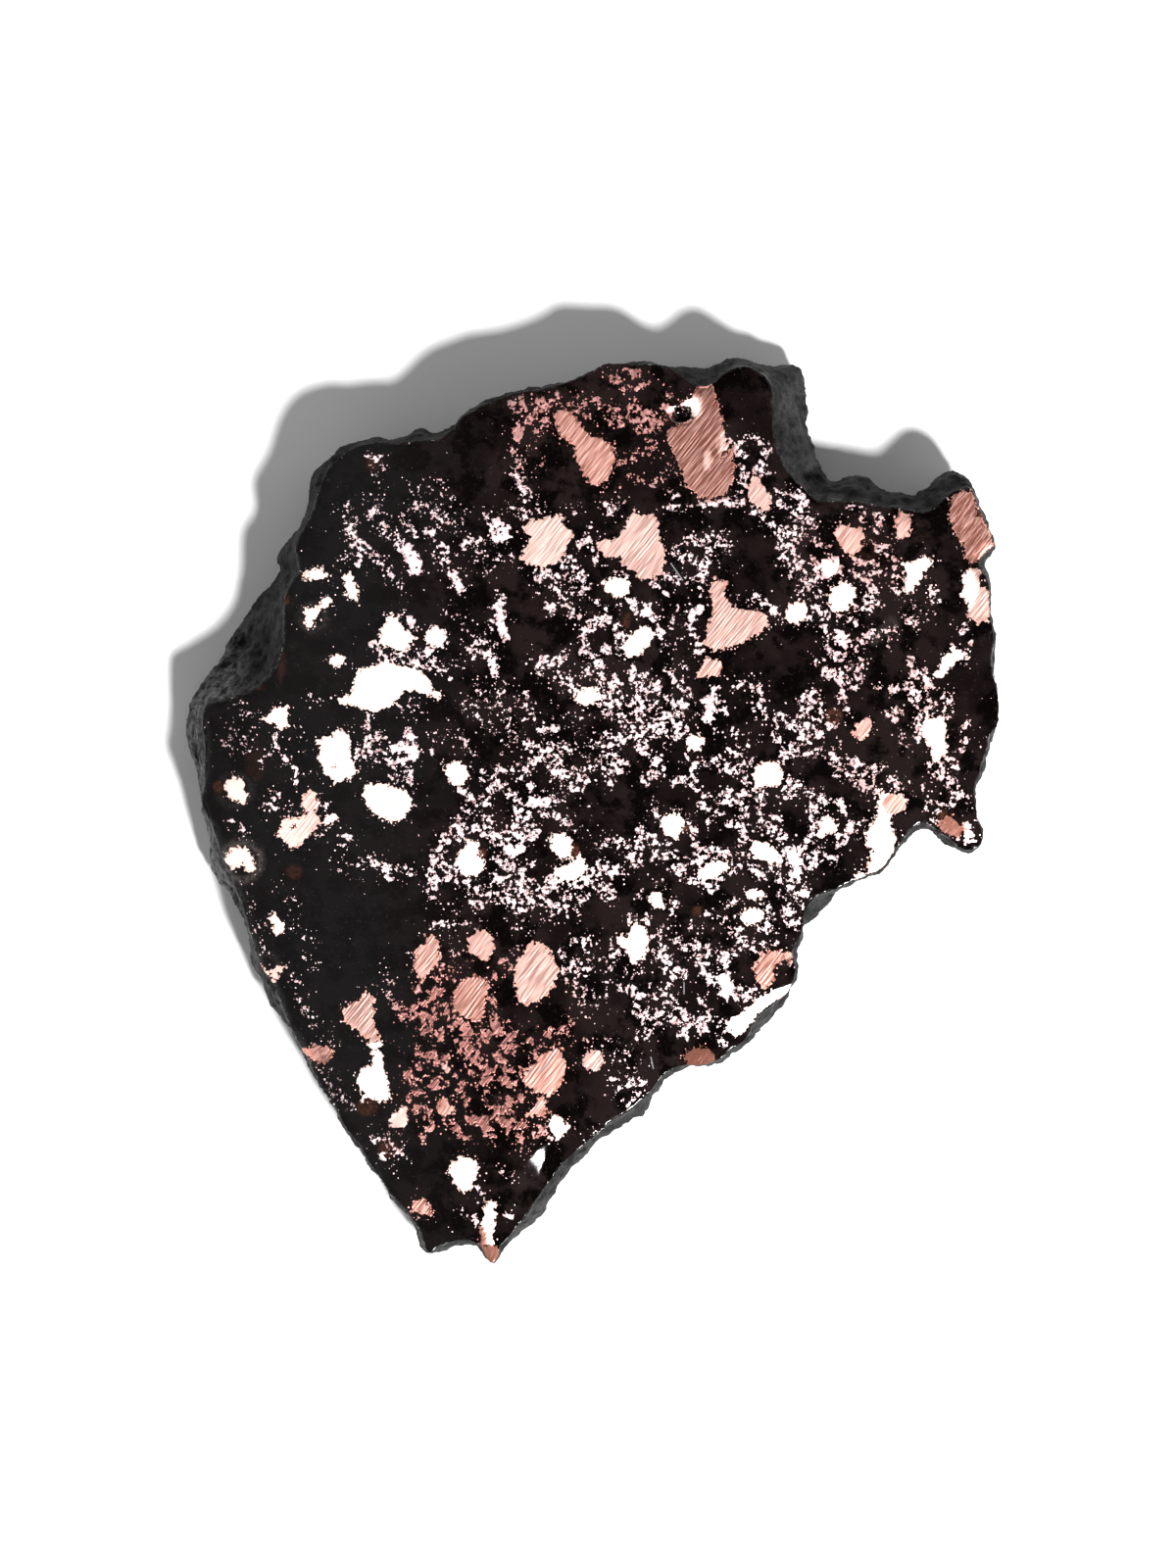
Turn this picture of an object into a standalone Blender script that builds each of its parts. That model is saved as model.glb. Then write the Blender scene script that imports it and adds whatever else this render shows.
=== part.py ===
"""A polished slab of copper ore: dark basalt with native copper, sawn flat below, ground flat and
polished above, and broken to its natural rind all round.

The slab is one stone, so it is one object. Its form is a loft between three outlines: the sawn underside,
the widest line of the broken wall, and the rim of the polished face. The polished face then rolls off
towards its rim, and the wall gets its ledges, lumps and pits.

Outlines are drawn in millimetres on a tracing sheet laid over the slab, u to the right and v downwards.
"""

import math

import bmesh
import bpy
from mathutils import Vector, noise
from mathutils.kdtree import KDTree

NAME = "copper_ore_slab"

# Driving dimensions, in metres
MM = 0.001
THICKNESS = 9.0 * MM
SHEET_CENTRE_U = 60.27
SHEET_CENTRE_V = 82.69

# How the mesh is made
POINTS_PER_SPAN = 3
WALL_STEPS = 5
VOXEL = 0.62 * MM
TRIANGLES = 9600
FLAT_BELOW = 0.25 * MM

# The underside follows the widest line, smoothed and drawn in
UNDERSIDE_SMOOTHING = 14
UNDERSIDE_INSET = 0.9 * MM

# How far the wall's heights, and the directions that the rim faces, are evened out along the edge
HEIGHT_SMOOTHING = 6
DIRECTION_SMOOTHING = 10

# How the polished face falls away towards its rim: width of the roll and depth at the rim
SHARP_ROLL = (1.3 * MM, 0.22 * MM)
SOFT_ROLL = (4.6 * MM, 1.25 * MM)
SOFT_SIDE = Vector((0.62, -0.78))
SOFT_FROM, SOFT_FULL = 0.45, 0.85

# The strip along the west side slopes down from this crease
WEST_CREASE = [
    (29.3, 66.0), (28.2, 70.0), (26.4, 75.0), (25.5, 80.5), (25.9, 84.0), (27.7, 89.1),
    (28.8, 92.6), (29.8, 96.0), (30.6, 100.0), (32.2, 105.0), (35.2, 110.0), (40.0, 116.5),
]
WEST_SLOPE = 0.34
WEST_MOST = 1.9 * MM
CREASE_SOFTNESS = 0.9 * MM
CREASE_ENDS = 8 * MM

# Places where the polish slopes away locally: centre u, v, reach, tilt direction in plan, slope.
# A facet starts half its reach before the centre, and fades out between these shares of it.
FACET_START = -0.5
FACET_FADE = (0.7, 1.5)
FACETS = [
    (99.6, 53.6, 3.4, (0.94, 0.34), 0.42),
    (98.4, 85.2, 3.6, (0.55, -0.83), 0.36),
    (50.2, 127.6, 2.2, (0.20, -0.98), 0.30),
]

# The broken wall's relief: size of the form and height of it
LEDGES = (5.2 * MM, 1.15 * MM)
LUMPS = (2.3 * MM, 0.55 * MM)
PITS = (2.9 * MM, 0.60 * MM)
NOISE_DETAIL = (0.8, 2.1, 3)
LEDGE_FLATTENING = 1.9
PIT_SHIFT = Vector((3.1, 7.7, 1.3))
PIT_REACH = 0.5
RIM_FADE = 1.3 * MM
FOOT_FADE = 1.4 * MM
WIDEST_SHARE_OF_RELIEF = 0.22
WIDEST_BAND = 1.7 * MM
STANDS_OUT_MOST = 0.12 * MM

# Stretches of the edge, clockwise from the west corner: the height of the widest line as a share of the
# thickness, the wall's bow (above 1 is hollow, below 1 is full), and the stations. A station is a point
# of the widest line and the point of the polished face's rim beside it: u, v and u, v.
STRETCHES = [
    ("hollow", 0.10, 1.55, [
        (18.2, 72.6, 20.7, 72.4), (18.6, 71.2, 21.3, 71.8), (19.8, 69.2, 23.6, 71.2),
        (21.0, 67.5, 26.2, 70.2), (21.7, 66.6, 27.2, 69.3), (21.9, 65.7, 28.0, 68.4),
        (23.3, 63.8, 28.9, 66.0), (24.6, 61.9, 29.0, 63.4), (25.7, 60.3, 29.1, 60.9),
        (26.4, 59.7, 29.8, 59.4), (27.3, 58.9, 30.6, 58.4),
    ]),
    ("north_west_corner", 0.42, 0.95, [
        (27.7, 57.3, 30.4, 57.0), (28.1, 56.1, 30.2, 55.7), (29.1, 55.0, 30.5, 54.7),
        (30.1, 54.2, 31.0, 53.9), (30.9, 52.4, 31.9, 52.2), (31.3, 50.6, 32.5, 50.2),
        (31.2, 49.3, 32.9, 49.1), (32.0, 47.6, 33.7, 47.6), (33.4, 46.4, 34.8, 46.4),
        (34.6, 45.3, 35.8, 45.8), (36.5, 44.6, 37.4, 45.3), (38.3, 44.4, 38.9, 45.1),
        (39.8, 44.6, 40.3, 45.2), (40.4, 44.2, 41.0, 45.1), (41.1, 44.3, 41.6, 45.0),
        (42.2, 43.5, 42.8, 44.9), (43.1, 43.3, 43.6, 44.9), (43.9, 43.9, 44.4, 45.0),
        (44.8, 43.8, 45.2, 44.6), (46.2, 43.1, 46.5, 43.4),
    ]),
    ("north_side", 0.50, 0.85, [
        (47.0, 42.0, 47.6, 42.3), (48.5, 41.1, 49.0, 41.4), (49.4, 40.5, 49.8, 41.1),
        (51.4, 40.1, 51.6, 40.4), (52.1, 39.6, 52.3, 40.0), (53.1, 39.7, 53.1, 40.0),
        (54.4, 39.1, 54.6, 39.8), (56.1, 38.9, 56.3, 39.5), (58.3, 38.5, 58.5, 38.8),
        (60.1, 37.7, 60.3, 38.0), (61.1, 37.0, 61.3, 37.3), (62.8, 36.6, 62.7, 37.0),
        (64.8, 36.2, 64.7, 37.2), (66.4, 36.6, 66.3, 37.2), (68.0, 37.1, 68.0, 37.4),
    ]),
    ("north_chip", 0.38, 1.25, [
        (69.3, 37.0, 69.2, 38.0), (70.4, 36.8, 70.2, 38.7), (71.5, 37.2, 71.4, 39.4),
        (72.5, 37.1, 72.4, 39.3), (73.9, 36.2, 74.0, 38.1), (75.0, 36.0, 75.1, 37.5),
        (76.6, 36.2, 76.5, 37.5), (78.4, 36.8, 77.9, 38.3),
    ]),
    ("crown_corner", 0.36, 0.90, [
        (80.2, 36.5, 78.6, 39.4), (81.3, 36.6, 78.7, 40.3), (82.2, 37.6, 78.9, 41.8),
        (82.7, 39.5, 79.0, 43.3), (83.0, 40.9, 79.1, 44.7), (83.1, 41.9, 79.2, 45.5),
        (82.9, 42.8, 79.4, 46.2), (83.2, 44.4, 79.9, 47.3), (83.6, 46.0, 80.7, 48.5),
        (84.3, 47.5, 81.7, 49.5),
    ]),
    ("step", 0.45, 1.10, [
        (84.9, 48.5, 82.7, 50.5), (85.7, 48.7, 83.7, 51.1), (86.5, 48.3, 85.0, 51.2),
        (87.7, 48.1, 86.8, 51.1), (88.9, 48.4, 88.2, 51.2), (90.1, 49.4, 90.0, 51.6),
        (91.5, 49.9, 91.3, 51.8), (93.3, 50.0, 93.1, 52.1), (94.5, 49.9, 94.4, 52.3),
    ]),
    ("knob", 0.62, 0.60, [
        (95.3, 48.9, 95.5, 51.8), (96.2, 48.2, 96.5, 50.8), (97.4, 47.9, 97.4, 50.1),
        (98.5, 48.2, 98.4, 49.8), (99.6, 49.3, 99.2, 49.9), (100.2, 51.1, 99.8, 51.4),
        (101.0, 53.0, 100.6, 53.2), (101.7, 54.8, 101.3, 54.9), (101.9, 55.6, 101.5, 55.6),
        (101.4, 56.4, 100.8, 56.2), (100.8, 57.2, 100.1, 57.2),
    ]),
    ("east_side", 0.48, 0.80, [
        (100.9, 58.1, 100.2, 58.2), (101.3, 59.2, 100.8, 59.3), (101.4, 61.0, 101.0, 61.1),
        (101.5, 62.6, 101.1, 62.7), (102.0, 64.2, 101.4, 64.3), (102.1, 65.4, 101.4, 65.5),
        (101.8, 67.1, 101.2, 67.2), (101.8, 68.6, 101.3, 68.7), (102.1, 70.1, 101.7, 70.1),
        (102.3, 72.4, 102.0, 72.4), (102.1, 74.2, 101.8, 74.1), (101.3, 75.4, 100.9, 75.2),
        (101.3, 76.4, 100.8, 76.3), (100.8, 77.9, 100.3, 77.8), (100.7, 79.2, 100.0, 79.0),
        (99.8, 80.6, 99.4, 80.5),
    ]),
    ("tail", 0.45, 0.75, [
        (99.9, 82.0, 99.6, 82.0), (100.1, 83.6, 99.8, 83.6), (100.7, 84.7, 100.3, 84.8),
        (100.7, 85.7, 100.3, 85.6), (100.1, 86.8, 99.8, 86.5), (98.9, 87.2, 98.8, 86.8),
        (97.9, 86.9, 98.0, 86.5), (96.7, 86.0, 96.9, 85.6), (95.6, 85.2, 95.8, 84.8),
        (94.5, 84.4, 94.5, 84.0),
    ]),
    ("bay", 0.42, 0.80, [
        (93.6, 84.8, 93.4, 84.4), (92.5, 86.0, 92.2, 85.6), (91.4, 87.7, 91.0, 87.3),
        (90.1, 89.1, 89.8, 88.7), (88.5, 89.7, 88.3, 89.4), (87.1, 90.4, 86.9, 90.1),
        (85.9, 90.9, 85.7, 90.6),
    ]),
    ("bay_chip", 0.30, 1.15, [
        (85.4, 91.6, 84.7, 91.0), (84.7, 92.6, 83.6, 91.4), (83.7, 93.7, 82.7, 92.2),
        (82.6, 94.4, 82.3, 93.3), (82.1, 95.2, 82.0, 94.6),
    ]),
    ("south_east_lip", 0.45, 0.70, [
        (81.9, 96.2, 81.6, 95.8), (81.2, 97.2, 80.9, 97.1), (81.6, 98.6, 81.2, 98.6),
        (81.6, 99.8, 81.1, 99.7), (81.0, 101.5, 80.4, 101.2), (79.9, 103.0, 79.1, 102.4),
        (78.7, 104.1, 77.8, 103.4), (77.6, 105.4, 76.7, 104.8), (76.4, 106.7, 76.0, 106.2),
        (74.8, 107.6, 74.5, 107.2), (74.1, 108.4, 73.7, 108.0), (73.0, 108.7, 72.8, 108.4),
        (71.6, 109.1, 71.6, 108.8), (70.0, 109.0, 70.0, 108.7), (68.6, 109.7, 68.4, 109.3),
    ]),
    ("south_side", 0.30, 1.00, [
        (67.8, 110.6, 67.3, 110.2), (67.2, 111.8, 66.5, 111.3), (66.4, 112.8, 65.3, 112.5),
        (66.5, 113.7, 64.4, 113.3), (65.8, 114.3, 63.2, 114.0), (64.4, 114.7, 62.2, 114.6),
        (62.4, 115.8, 60.9, 115.9), (60.8, 117.1, 59.7, 116.8), (59.4, 118.6, 58.2, 118.0),
        (58.3, 120.0, 56.9, 119.5), (57.1, 121.3, 55.9, 120.9), (56.3, 122.9, 54.9, 122.2),
        (55.5, 124.3, 53.9, 123.9), (54.1, 125.5, 52.7, 125.4), (52.6, 126.5, 51.8, 126.4),
    ]),
    ("copper_tip", 0.72, 0.60, [
        (51.5, 127.4, 51.1, 127.3), (51.1, 128.4, 50.8, 128.3), (50.3, 129.35, 50.2, 128.9),
        (49.5, 128.7, 49.6, 128.3), (49.0, 127.7, 49.2, 127.3),
    ]),
    ("point", 0.40, 0.95, [
        (48.2, 127.3, 48.4, 126.8), (46.9, 127.4, 46.9, 126.6), (45.2, 128.0, 45.0, 127.1),
        (43.7, 128.6, 43.8, 127.9), (43.0, 127.8, 43.4, 127.3), (42.3, 126.4, 43.0, 126.0),
        (42.1, 125.2, 42.6, 125.1), (41.1, 123.8, 41.6, 123.8),
    ]),
    ("south_west_side", 0.45, 0.85, [
        (39.6, 122.3, 40.1, 122.1), (38.8, 121.0, 39.2, 120.8), (37.9, 119.7, 38.3, 119.5),
        (37.3, 119.1, 37.7, 118.8), (36.3, 117.2, 36.7, 117.0), (34.9, 115.3, 35.3, 115.1),
        (34.0, 113.6, 34.4, 113.4), (32.6, 111.6, 33.0, 111.4), (31.6, 109.9, 32.0, 109.7),
        (31.0, 108.2, 31.4, 108.1), (29.9, 106.4, 30.4, 106.3), (28.5, 104.2, 29.3, 104.0),
        (27.9, 103.4, 28.8, 102.6),
    ]),
    ("west_lumps", 0.30, 0.90, [
        (26.9, 102.3, 28.2, 101.0), (26.4, 100.7, 27.5, 99.9), (25.8, 99.2, 26.7, 98.8),
        (25.2, 97.7, 26.2, 97.4), (25.4, 96.6, 25.9, 96.4), (25.0, 95.2, 25.4, 95.0),
        (24.0, 93.3, 24.7, 92.5), (22.7, 91.1, 24.0, 90.2), (21.4, 89.5, 23.1, 88.2),
        (20.9, 87.7, 22.4, 86.6), (20.6, 85.6, 21.7, 84.5), (20.3, 83.4, 20.9, 82.9),
    ]),
    ("west_side", 0.14, 0.90, [
        (20.1, 81.7, 20.4, 81.5), (19.6, 79.6, 20.8, 79.6), (18.9, 77.6, 20.9, 77.5),
        (18.4, 75.7, 20.8, 75.5), (18.1, 74.1, 20.6, 73.9),
    ]),
]


def on_slab(u, v):
    """A point of the tracing sheet, in the slab's frame."""
    return Vector(((u - SHEET_CENTRE_U) * MM, (SHEET_CENTRE_V - v) * MM))


def smooth_step(low, high, value):
    t = min(1.0, max(0.0, (value - low) / (high - low)))
    return t * t * (3 - 2 * t)


def spline(before, start, end, after, t):
    """A Catmull-Rom point between start and end."""
    return 0.5 * (
        2 * start
        + (end - before) * t
        + (2 * before - 5 * start + 4 * end - after) * t * t
        + (3 * start - before - 3 * end + after) * t**3
    )


def fine_line(points):
    """A closed line of vectors or numbers, with POINTS_PER_SPAN points for each of its own."""
    count = len(points)
    return [
        spline(points[i - 1], points[i], points[(i + 1) % count], points[(i + 2) % count],
               step / POINTS_PER_SPAN)
        for i in range(count)
        for step in range(POINTS_PER_SPAN)
    ]


def averaged(line, passes):
    """The closed line after each point has moved to the middle of its neighbours, passes times."""
    for _ in range(passes):
        line = [(line[i - 1] + 2 * line[i] + line[(i + 1) % len(line)]) / 4 for i in range(len(line))]
    return line


def outline_normals(line):
    """Outward directions of a closed line that runs clockwise."""
    normals = []
    for i in range(len(line)):
        along = line[(i + 1) % len(line)] - line[i - 1]
        normals.append(Vector((-along.y, along.x)).normalized())
    return normals


class Edge:
    """The outlines that the slab is lofted between, and the shape of the wall at each of their points."""

    def __init__(self):
        stations = [(s, widest, bow) for _, widest, bow, rows in STRETCHES for s in rows]
        self.widest = fine_line([on_slab(s[0], s[1]) for s, _, _ in stations])
        self.rim = fine_line([on_slab(s[2], s[3]) for s, _, _ in stations])
        heights = fine_line([THICKNESS * w for _, w, _ in stations])
        self.widest_height = averaged(heights, HEIGHT_SMOOTHING)
        self.bow = averaged(fine_line([b for _, _, b in stations]), HEIGHT_SMOOTHING)
        smoothed = averaged(self.widest, UNDERSIDE_SMOOTHING)
        self.underside = [
            p - n * UNDERSIDE_INSET for p, n in zip(smoothed, outline_normals(smoothed))
        ]
        self.rim_normals = averaged(outline_normals(self.rim), DIRECTION_SMOOTHING)
        self.rim_tree = KDTree(len(self.rim))
        for i, point in enumerate(self.rim):
            self.rim_tree.insert(point.to_3d(), i)
        self.rim_tree.balance()

    def nearest_rim(self, plan):
        """Distance to the rim, the rim's outward direction there, and its place in the lists."""
        _, index, distance = self.rim_tree.find(plan.to_3d())
        return distance, self.rim_normals[index].normalized(), index


def west_fall(plan):
    """How far the polished face lies below its plane on the strip west of the crease."""
    crease = [on_slab(u, v) for u, v in WEST_CREASE]
    for upper, lower in zip(crease, crease[1:]):
        if lower.y <= plan.y <= upper.y:
            share = (upper.y - plan.y) / (upper.y - lower.y)
            beyond = upper.x + (lower.x - upper.x) * share - plan.x
            ends = min(plan.y - crease[-1].y, crease[0].y - plan.y)
            soft = math.hypot(max(beyond, 0.0), CREASE_SOFTNESS) - CREASE_SOFTNESS
            return min(WEST_SLOPE * soft, WEST_MOST) * smooth_step(0.0, CREASE_ENDS, ends)
    return 0.0


def facet_fall(plan):
    """How far the small facets of the knob, the tail and the tip take the polished face down."""
    fall = 0.0
    for u, v, reach, direction, slope in FACETS:
        offset = (plan - on_slab(u, v)) / (reach * MM)
        along = (offset.dot(Vector(direction)) - FACET_START) * reach * MM
        fade = 1 - smooth_step(*FACET_FADE, offset.length)
        fall = max(fall, slope * max(along, 0.0) * fade)
    return fall


def polished_height(plan, edge):
    """Height of the polished face above the underside."""
    distance, outward, _ = edge.nearest_rim(plan)
    softness = smooth_step(SOFT_FROM, SOFT_FULL, outward.dot(SOFT_SIDE))
    width = SHARP_ROLL[0] + (SOFT_ROLL[0] - SHARP_ROLL[0]) * softness
    depth = SHARP_ROLL[1] + (SOFT_ROLL[1] - SHARP_ROLL[1]) * softness
    roll = depth * max(0.0, 1 - distance / width) ** 2
    return THICKNESS - roll - west_fall(plan) - facet_fall(plan)


def add_loft(edge):
    """The closed stone, as rings of points from the underside up to the polished face's rim."""
    rings = []
    for share in (0.0, 0.5):
        rings.append([
            Vector((*low.lerp(wide, share ** 0.6), height * share))
            for low, wide, height in zip(edge.underside, edge.widest, edge.widest_height)
        ])
    for step in range(WALL_STEPS + 1):
        share = step / WALL_STEPS
        ring = []
        for wide, rim, height, bow in zip(edge.widest, edge.rim, edge.widest_height, edge.bow):
            top = polished_height(rim, edge)
            ring.append(Vector((*wide.lerp(rim, share), height + (top - height) * share**bow)))
        rings.append(ring)

    mesh = bmesh.new()
    rows = [[mesh.verts.new(point) for point in ring] for ring in rings]
    count = len(rows[0])
    for lower, upper in zip(rows, rows[1:]):
        for i in range(count):
            following = (i + 1) % count
            mesh.faces.new((lower[following], lower[i], upper[i], upper[following]))
    mesh.faces.new(rows[0])
    mesh.faces.new(reversed(rows[-1]))
    bmesh.ops.recalc_face_normals(mesh, faces=mesh.faces)
    data = bpy.data.meshes.new(NAME)
    mesh.to_mesh(data)
    mesh.free()
    return bpy.data.objects.new(NAME, data)


def applied(slab):
    """Gives the slab the mesh that its modifiers make, and removes them."""
    bpy.context.view_layer.update()
    graph = bpy.context.evaluated_depsgraph_get()
    made = bpy.data.meshes.new_from_object(slab.evaluated_get(graph))
    slab.modifiers.clear()
    slab.data = made
    made.name = NAME


def even_faces(slab):
    """Remeshes the loft into faces of one size, so that relief of a millimetre can be shaped in it."""
    remesh = slab.modifiers.new("even_faces", "REMESH")
    remesh.mode = "VOXEL"
    remesh.voxel_size = VOXEL
    applied(slab)


def relief_at(point):
    """How far the broken surface stands out at a point: ledges, lumps and pits."""
    ledge_size, ledge_height = LEDGES
    lump_size, lump_height = LUMPS
    pit_size, pit_depth = PITS
    layered = Vector((point.x, point.y, point.z * LEDGE_FLATTENING)) / ledge_size
    ledge = noise.hetero_terrain(layered, *NOISE_DETAIL, 0.0)
    lump = noise.fractal(point / lump_size, *NOISE_DETAIL)
    nearest = noise.voronoi(point / pit_size + PIT_SHIFT)[0][0]
    pit = smooth_step(0.0, PIT_REACH, PIT_REACH - nearest)
    return min(ledge_height * ledge + lump_height * lump - pit_depth * pit, STANDS_OUT_MOST)


def shape_surface(slab, edge):
    """Rolls off the polished face, and breaks up the wall."""
    places = [(vertex, vertex.co.copy(), vertex.normal.copy()) for vertex in slab.data.vertices]
    for vertex, point, direction in places:
        plan = point.to_2d()
        distance, outward, index = edge.nearest_rim(plan)
        inside = (edge.rim[index] - plan).dot(outward) > 0
        top = polished_height(plan, edge)
        if inside and point.z > top - THICKNESS / 2:
            vertex.co.z = top
        elif point.z > FLAT_BELOW:
            below_rim = math.hypot(distance, top - point.z)
            fade = smooth_step(0.0, RIM_FADE, below_rim) * smooth_step(0.0, FOOT_FADE, point.z)
            from_widest = smooth_step(0.0, WIDEST_BAND, abs(point.z - edge.widest_height[index]))
            share = WIDEST_SHARE_OF_RELIEF + (1 - WIDEST_SHARE_OF_RELIEF) * from_widest
            vertex.co += direction * relief_at(point) * fade * share
        vertex.co.z = max(vertex.co.z, 0.0)


def lighten(slab):
    """Brings the faces down to a number that is easy to handle, and seats the underside on its plane."""
    decimate = slab.modifiers.new("lighten", "DECIMATE")
    decimate.ratio = TRIANGLES / (2 * len(slab.data.polygons))
    applied(slab)
    for vertex in slab.data.vertices:
        if vertex.co.z < FLAT_BELOW:
            vertex.co.z = 0.0


def add_material(slab):
    """Dark basalt under a clear polish."""
    material = bpy.data.materials.new("copper_bearing_basalt")
    material.use_nodes = True
    shader = material.node_tree.nodes["Principled BSDF"]
    shader.inputs["Base Color"].default_value = (0.035, 0.027, 0.026, 1.0)
    shader.inputs["Roughness"].default_value = 0.32
    shader.inputs["Metallic"].default_value = 0.0
    slab.data.materials.append(material)


def main():
    for old in list(bpy.data.objects):
        bpy.data.objects.remove(old)
    collection = bpy.data.collections.new(NAME)
    bpy.context.scene.collection.children.link(collection)
    edge = Edge()
    slab = add_loft(edge)
    collection.objects.link(slab)
    even_faces(slab)
    shape_surface(slab, edge)
    lighten(slab)
    add_material(slab)


main()
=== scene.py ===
"""The looks of a polished slab of copper ore: dark basalt full of native copper, seen from above.

The stone is one piece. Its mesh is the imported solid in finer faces, with the polished face laid exactly on
its rule and the broken rind given its finest relief. The copper is drawn on a tracing sheet laid over the
polished face, with u to the right and v downwards. Nuggets are closed outlines, and the lace between them
is strokes that the material frays into grains. Both are in tenths of a millimetre, and the stone's own
shape is in millimetres.
"""

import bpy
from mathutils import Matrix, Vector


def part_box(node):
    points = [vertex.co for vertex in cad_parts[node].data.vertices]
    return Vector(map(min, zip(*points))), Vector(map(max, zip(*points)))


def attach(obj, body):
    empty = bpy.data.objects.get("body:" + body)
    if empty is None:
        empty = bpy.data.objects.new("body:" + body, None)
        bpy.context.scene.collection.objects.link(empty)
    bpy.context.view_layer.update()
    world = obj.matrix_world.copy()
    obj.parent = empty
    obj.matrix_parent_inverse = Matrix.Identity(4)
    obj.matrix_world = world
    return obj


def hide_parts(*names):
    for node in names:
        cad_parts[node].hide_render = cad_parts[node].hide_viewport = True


bl_info = {
    "name": "Polished copper ore slab",
    "version": (1, 0, 0),
    "blender": (4, 5, 0),
    "location": "View3D > Sidebar > Copper ore",
    "description": "Dresses the packed slab with native copper, lacquered basalt and a photo stage",
    "category": "Object",
}

import math

import bmesh
import bpy
import numpy as np
from bpy.props import FloatProperty, FloatVectorProperty, PointerProperty
from mathutils import Vector, noise
from mathutils.kdtree import KDTree

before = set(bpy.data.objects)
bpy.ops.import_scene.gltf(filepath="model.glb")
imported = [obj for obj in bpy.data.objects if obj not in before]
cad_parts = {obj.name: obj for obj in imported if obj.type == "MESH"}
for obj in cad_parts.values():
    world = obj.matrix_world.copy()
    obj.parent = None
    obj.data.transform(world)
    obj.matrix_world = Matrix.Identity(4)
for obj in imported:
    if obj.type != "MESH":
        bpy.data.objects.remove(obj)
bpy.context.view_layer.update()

SLAB = "copper_ore_slab"
MM = 0.001
TENTH = 0.1
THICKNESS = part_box(SLAB)[1].z / MM

# The tracing sheet's point over the slab's centre, in millimetres
SHEET_CENTRE = np.array([60.27, 82.69])

# The polished face rolls off at its rim: how wide the roll is and how far it falls, in millimetres. The soft
# roll is on the part of the rim that faces SOFT_SIDE (right and up) by the shares below, and it sets in
# between the places on the sheet that the last two pairs give.
RIM_POINTS_PER_SPAN = 6
FACING_PASSES = 300
SHARP_ROLL = (1.3, 0.12)
SOFT_ROLL = (3.4, 0.26)
SOFT_SIDE = np.array([0.62, -0.78])
SOFT_FROM, SOFT_FULL = 0.45, 0.85
SOFT_BELOW = (62.0, 74.0)
SOFT_EAST_OF = (44.0, 56.0)

# The strip west of the crease slopes away from the polished plane
WEST_CREASE = [
    (29.3, 66.0), (28.2, 70.0), (26.4, 75.0), (25.5, 80.5), (25.9, 84.0), (27.7, 89.1),
    (28.8, 92.6), (29.8, 96.0), (30.6, 100.0), (32.2, 105.0), (35.2, 110.0), (40.0, 116.5),
]
WEST_SLOPE = 0.34
WEST_MOST = 1.9
CREASE_SOFTNESS = 0.9
CREASE_ENDS = 8

# Facets at the east side: centre u and v, reach, the way each falls (right and up) and its slope
FACETS = [
    (99.6, 53.6, 3.6, (0.94, 0.34), 0.10),
    (98.4, 85.2, 3.6, (0.55, -0.83), 0.08),
]
FACET_START = -0.85
FACET_FADE = (0.8, 1.7)

# Bevels that mirror the key light: the slope, then where each starts and how wide it is there
GLINTS = [
    (0.27, [(81.9, 99.8, 0.0), (81.0, 100.2, 0.8), (78.8, 101.0, 1.1), (77.1, 102.3, 1.2),
            (75.9, 103.8, 1.2), (75.1, 105.1, 1.0), (74.6, 106.2, 0.0)]),
    (0.32, [(52.6, 121.8, 0.0), (53.2, 119.9, 1.3), (53.8, 118.4, 2.0), (54.8, 117.2, 1.4),
            (56.2, 116.4, 0.0)]),
]
GLINT_SIDE = np.array([0.6, 0.8])

# The vesicle in the polish: centre u and v, half width, half height, depth, and the share of its reach that
# is flat floor
VESICLE = (69.5, 42.3, 1.35, 0.95, 0.9, 0.35)

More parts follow.
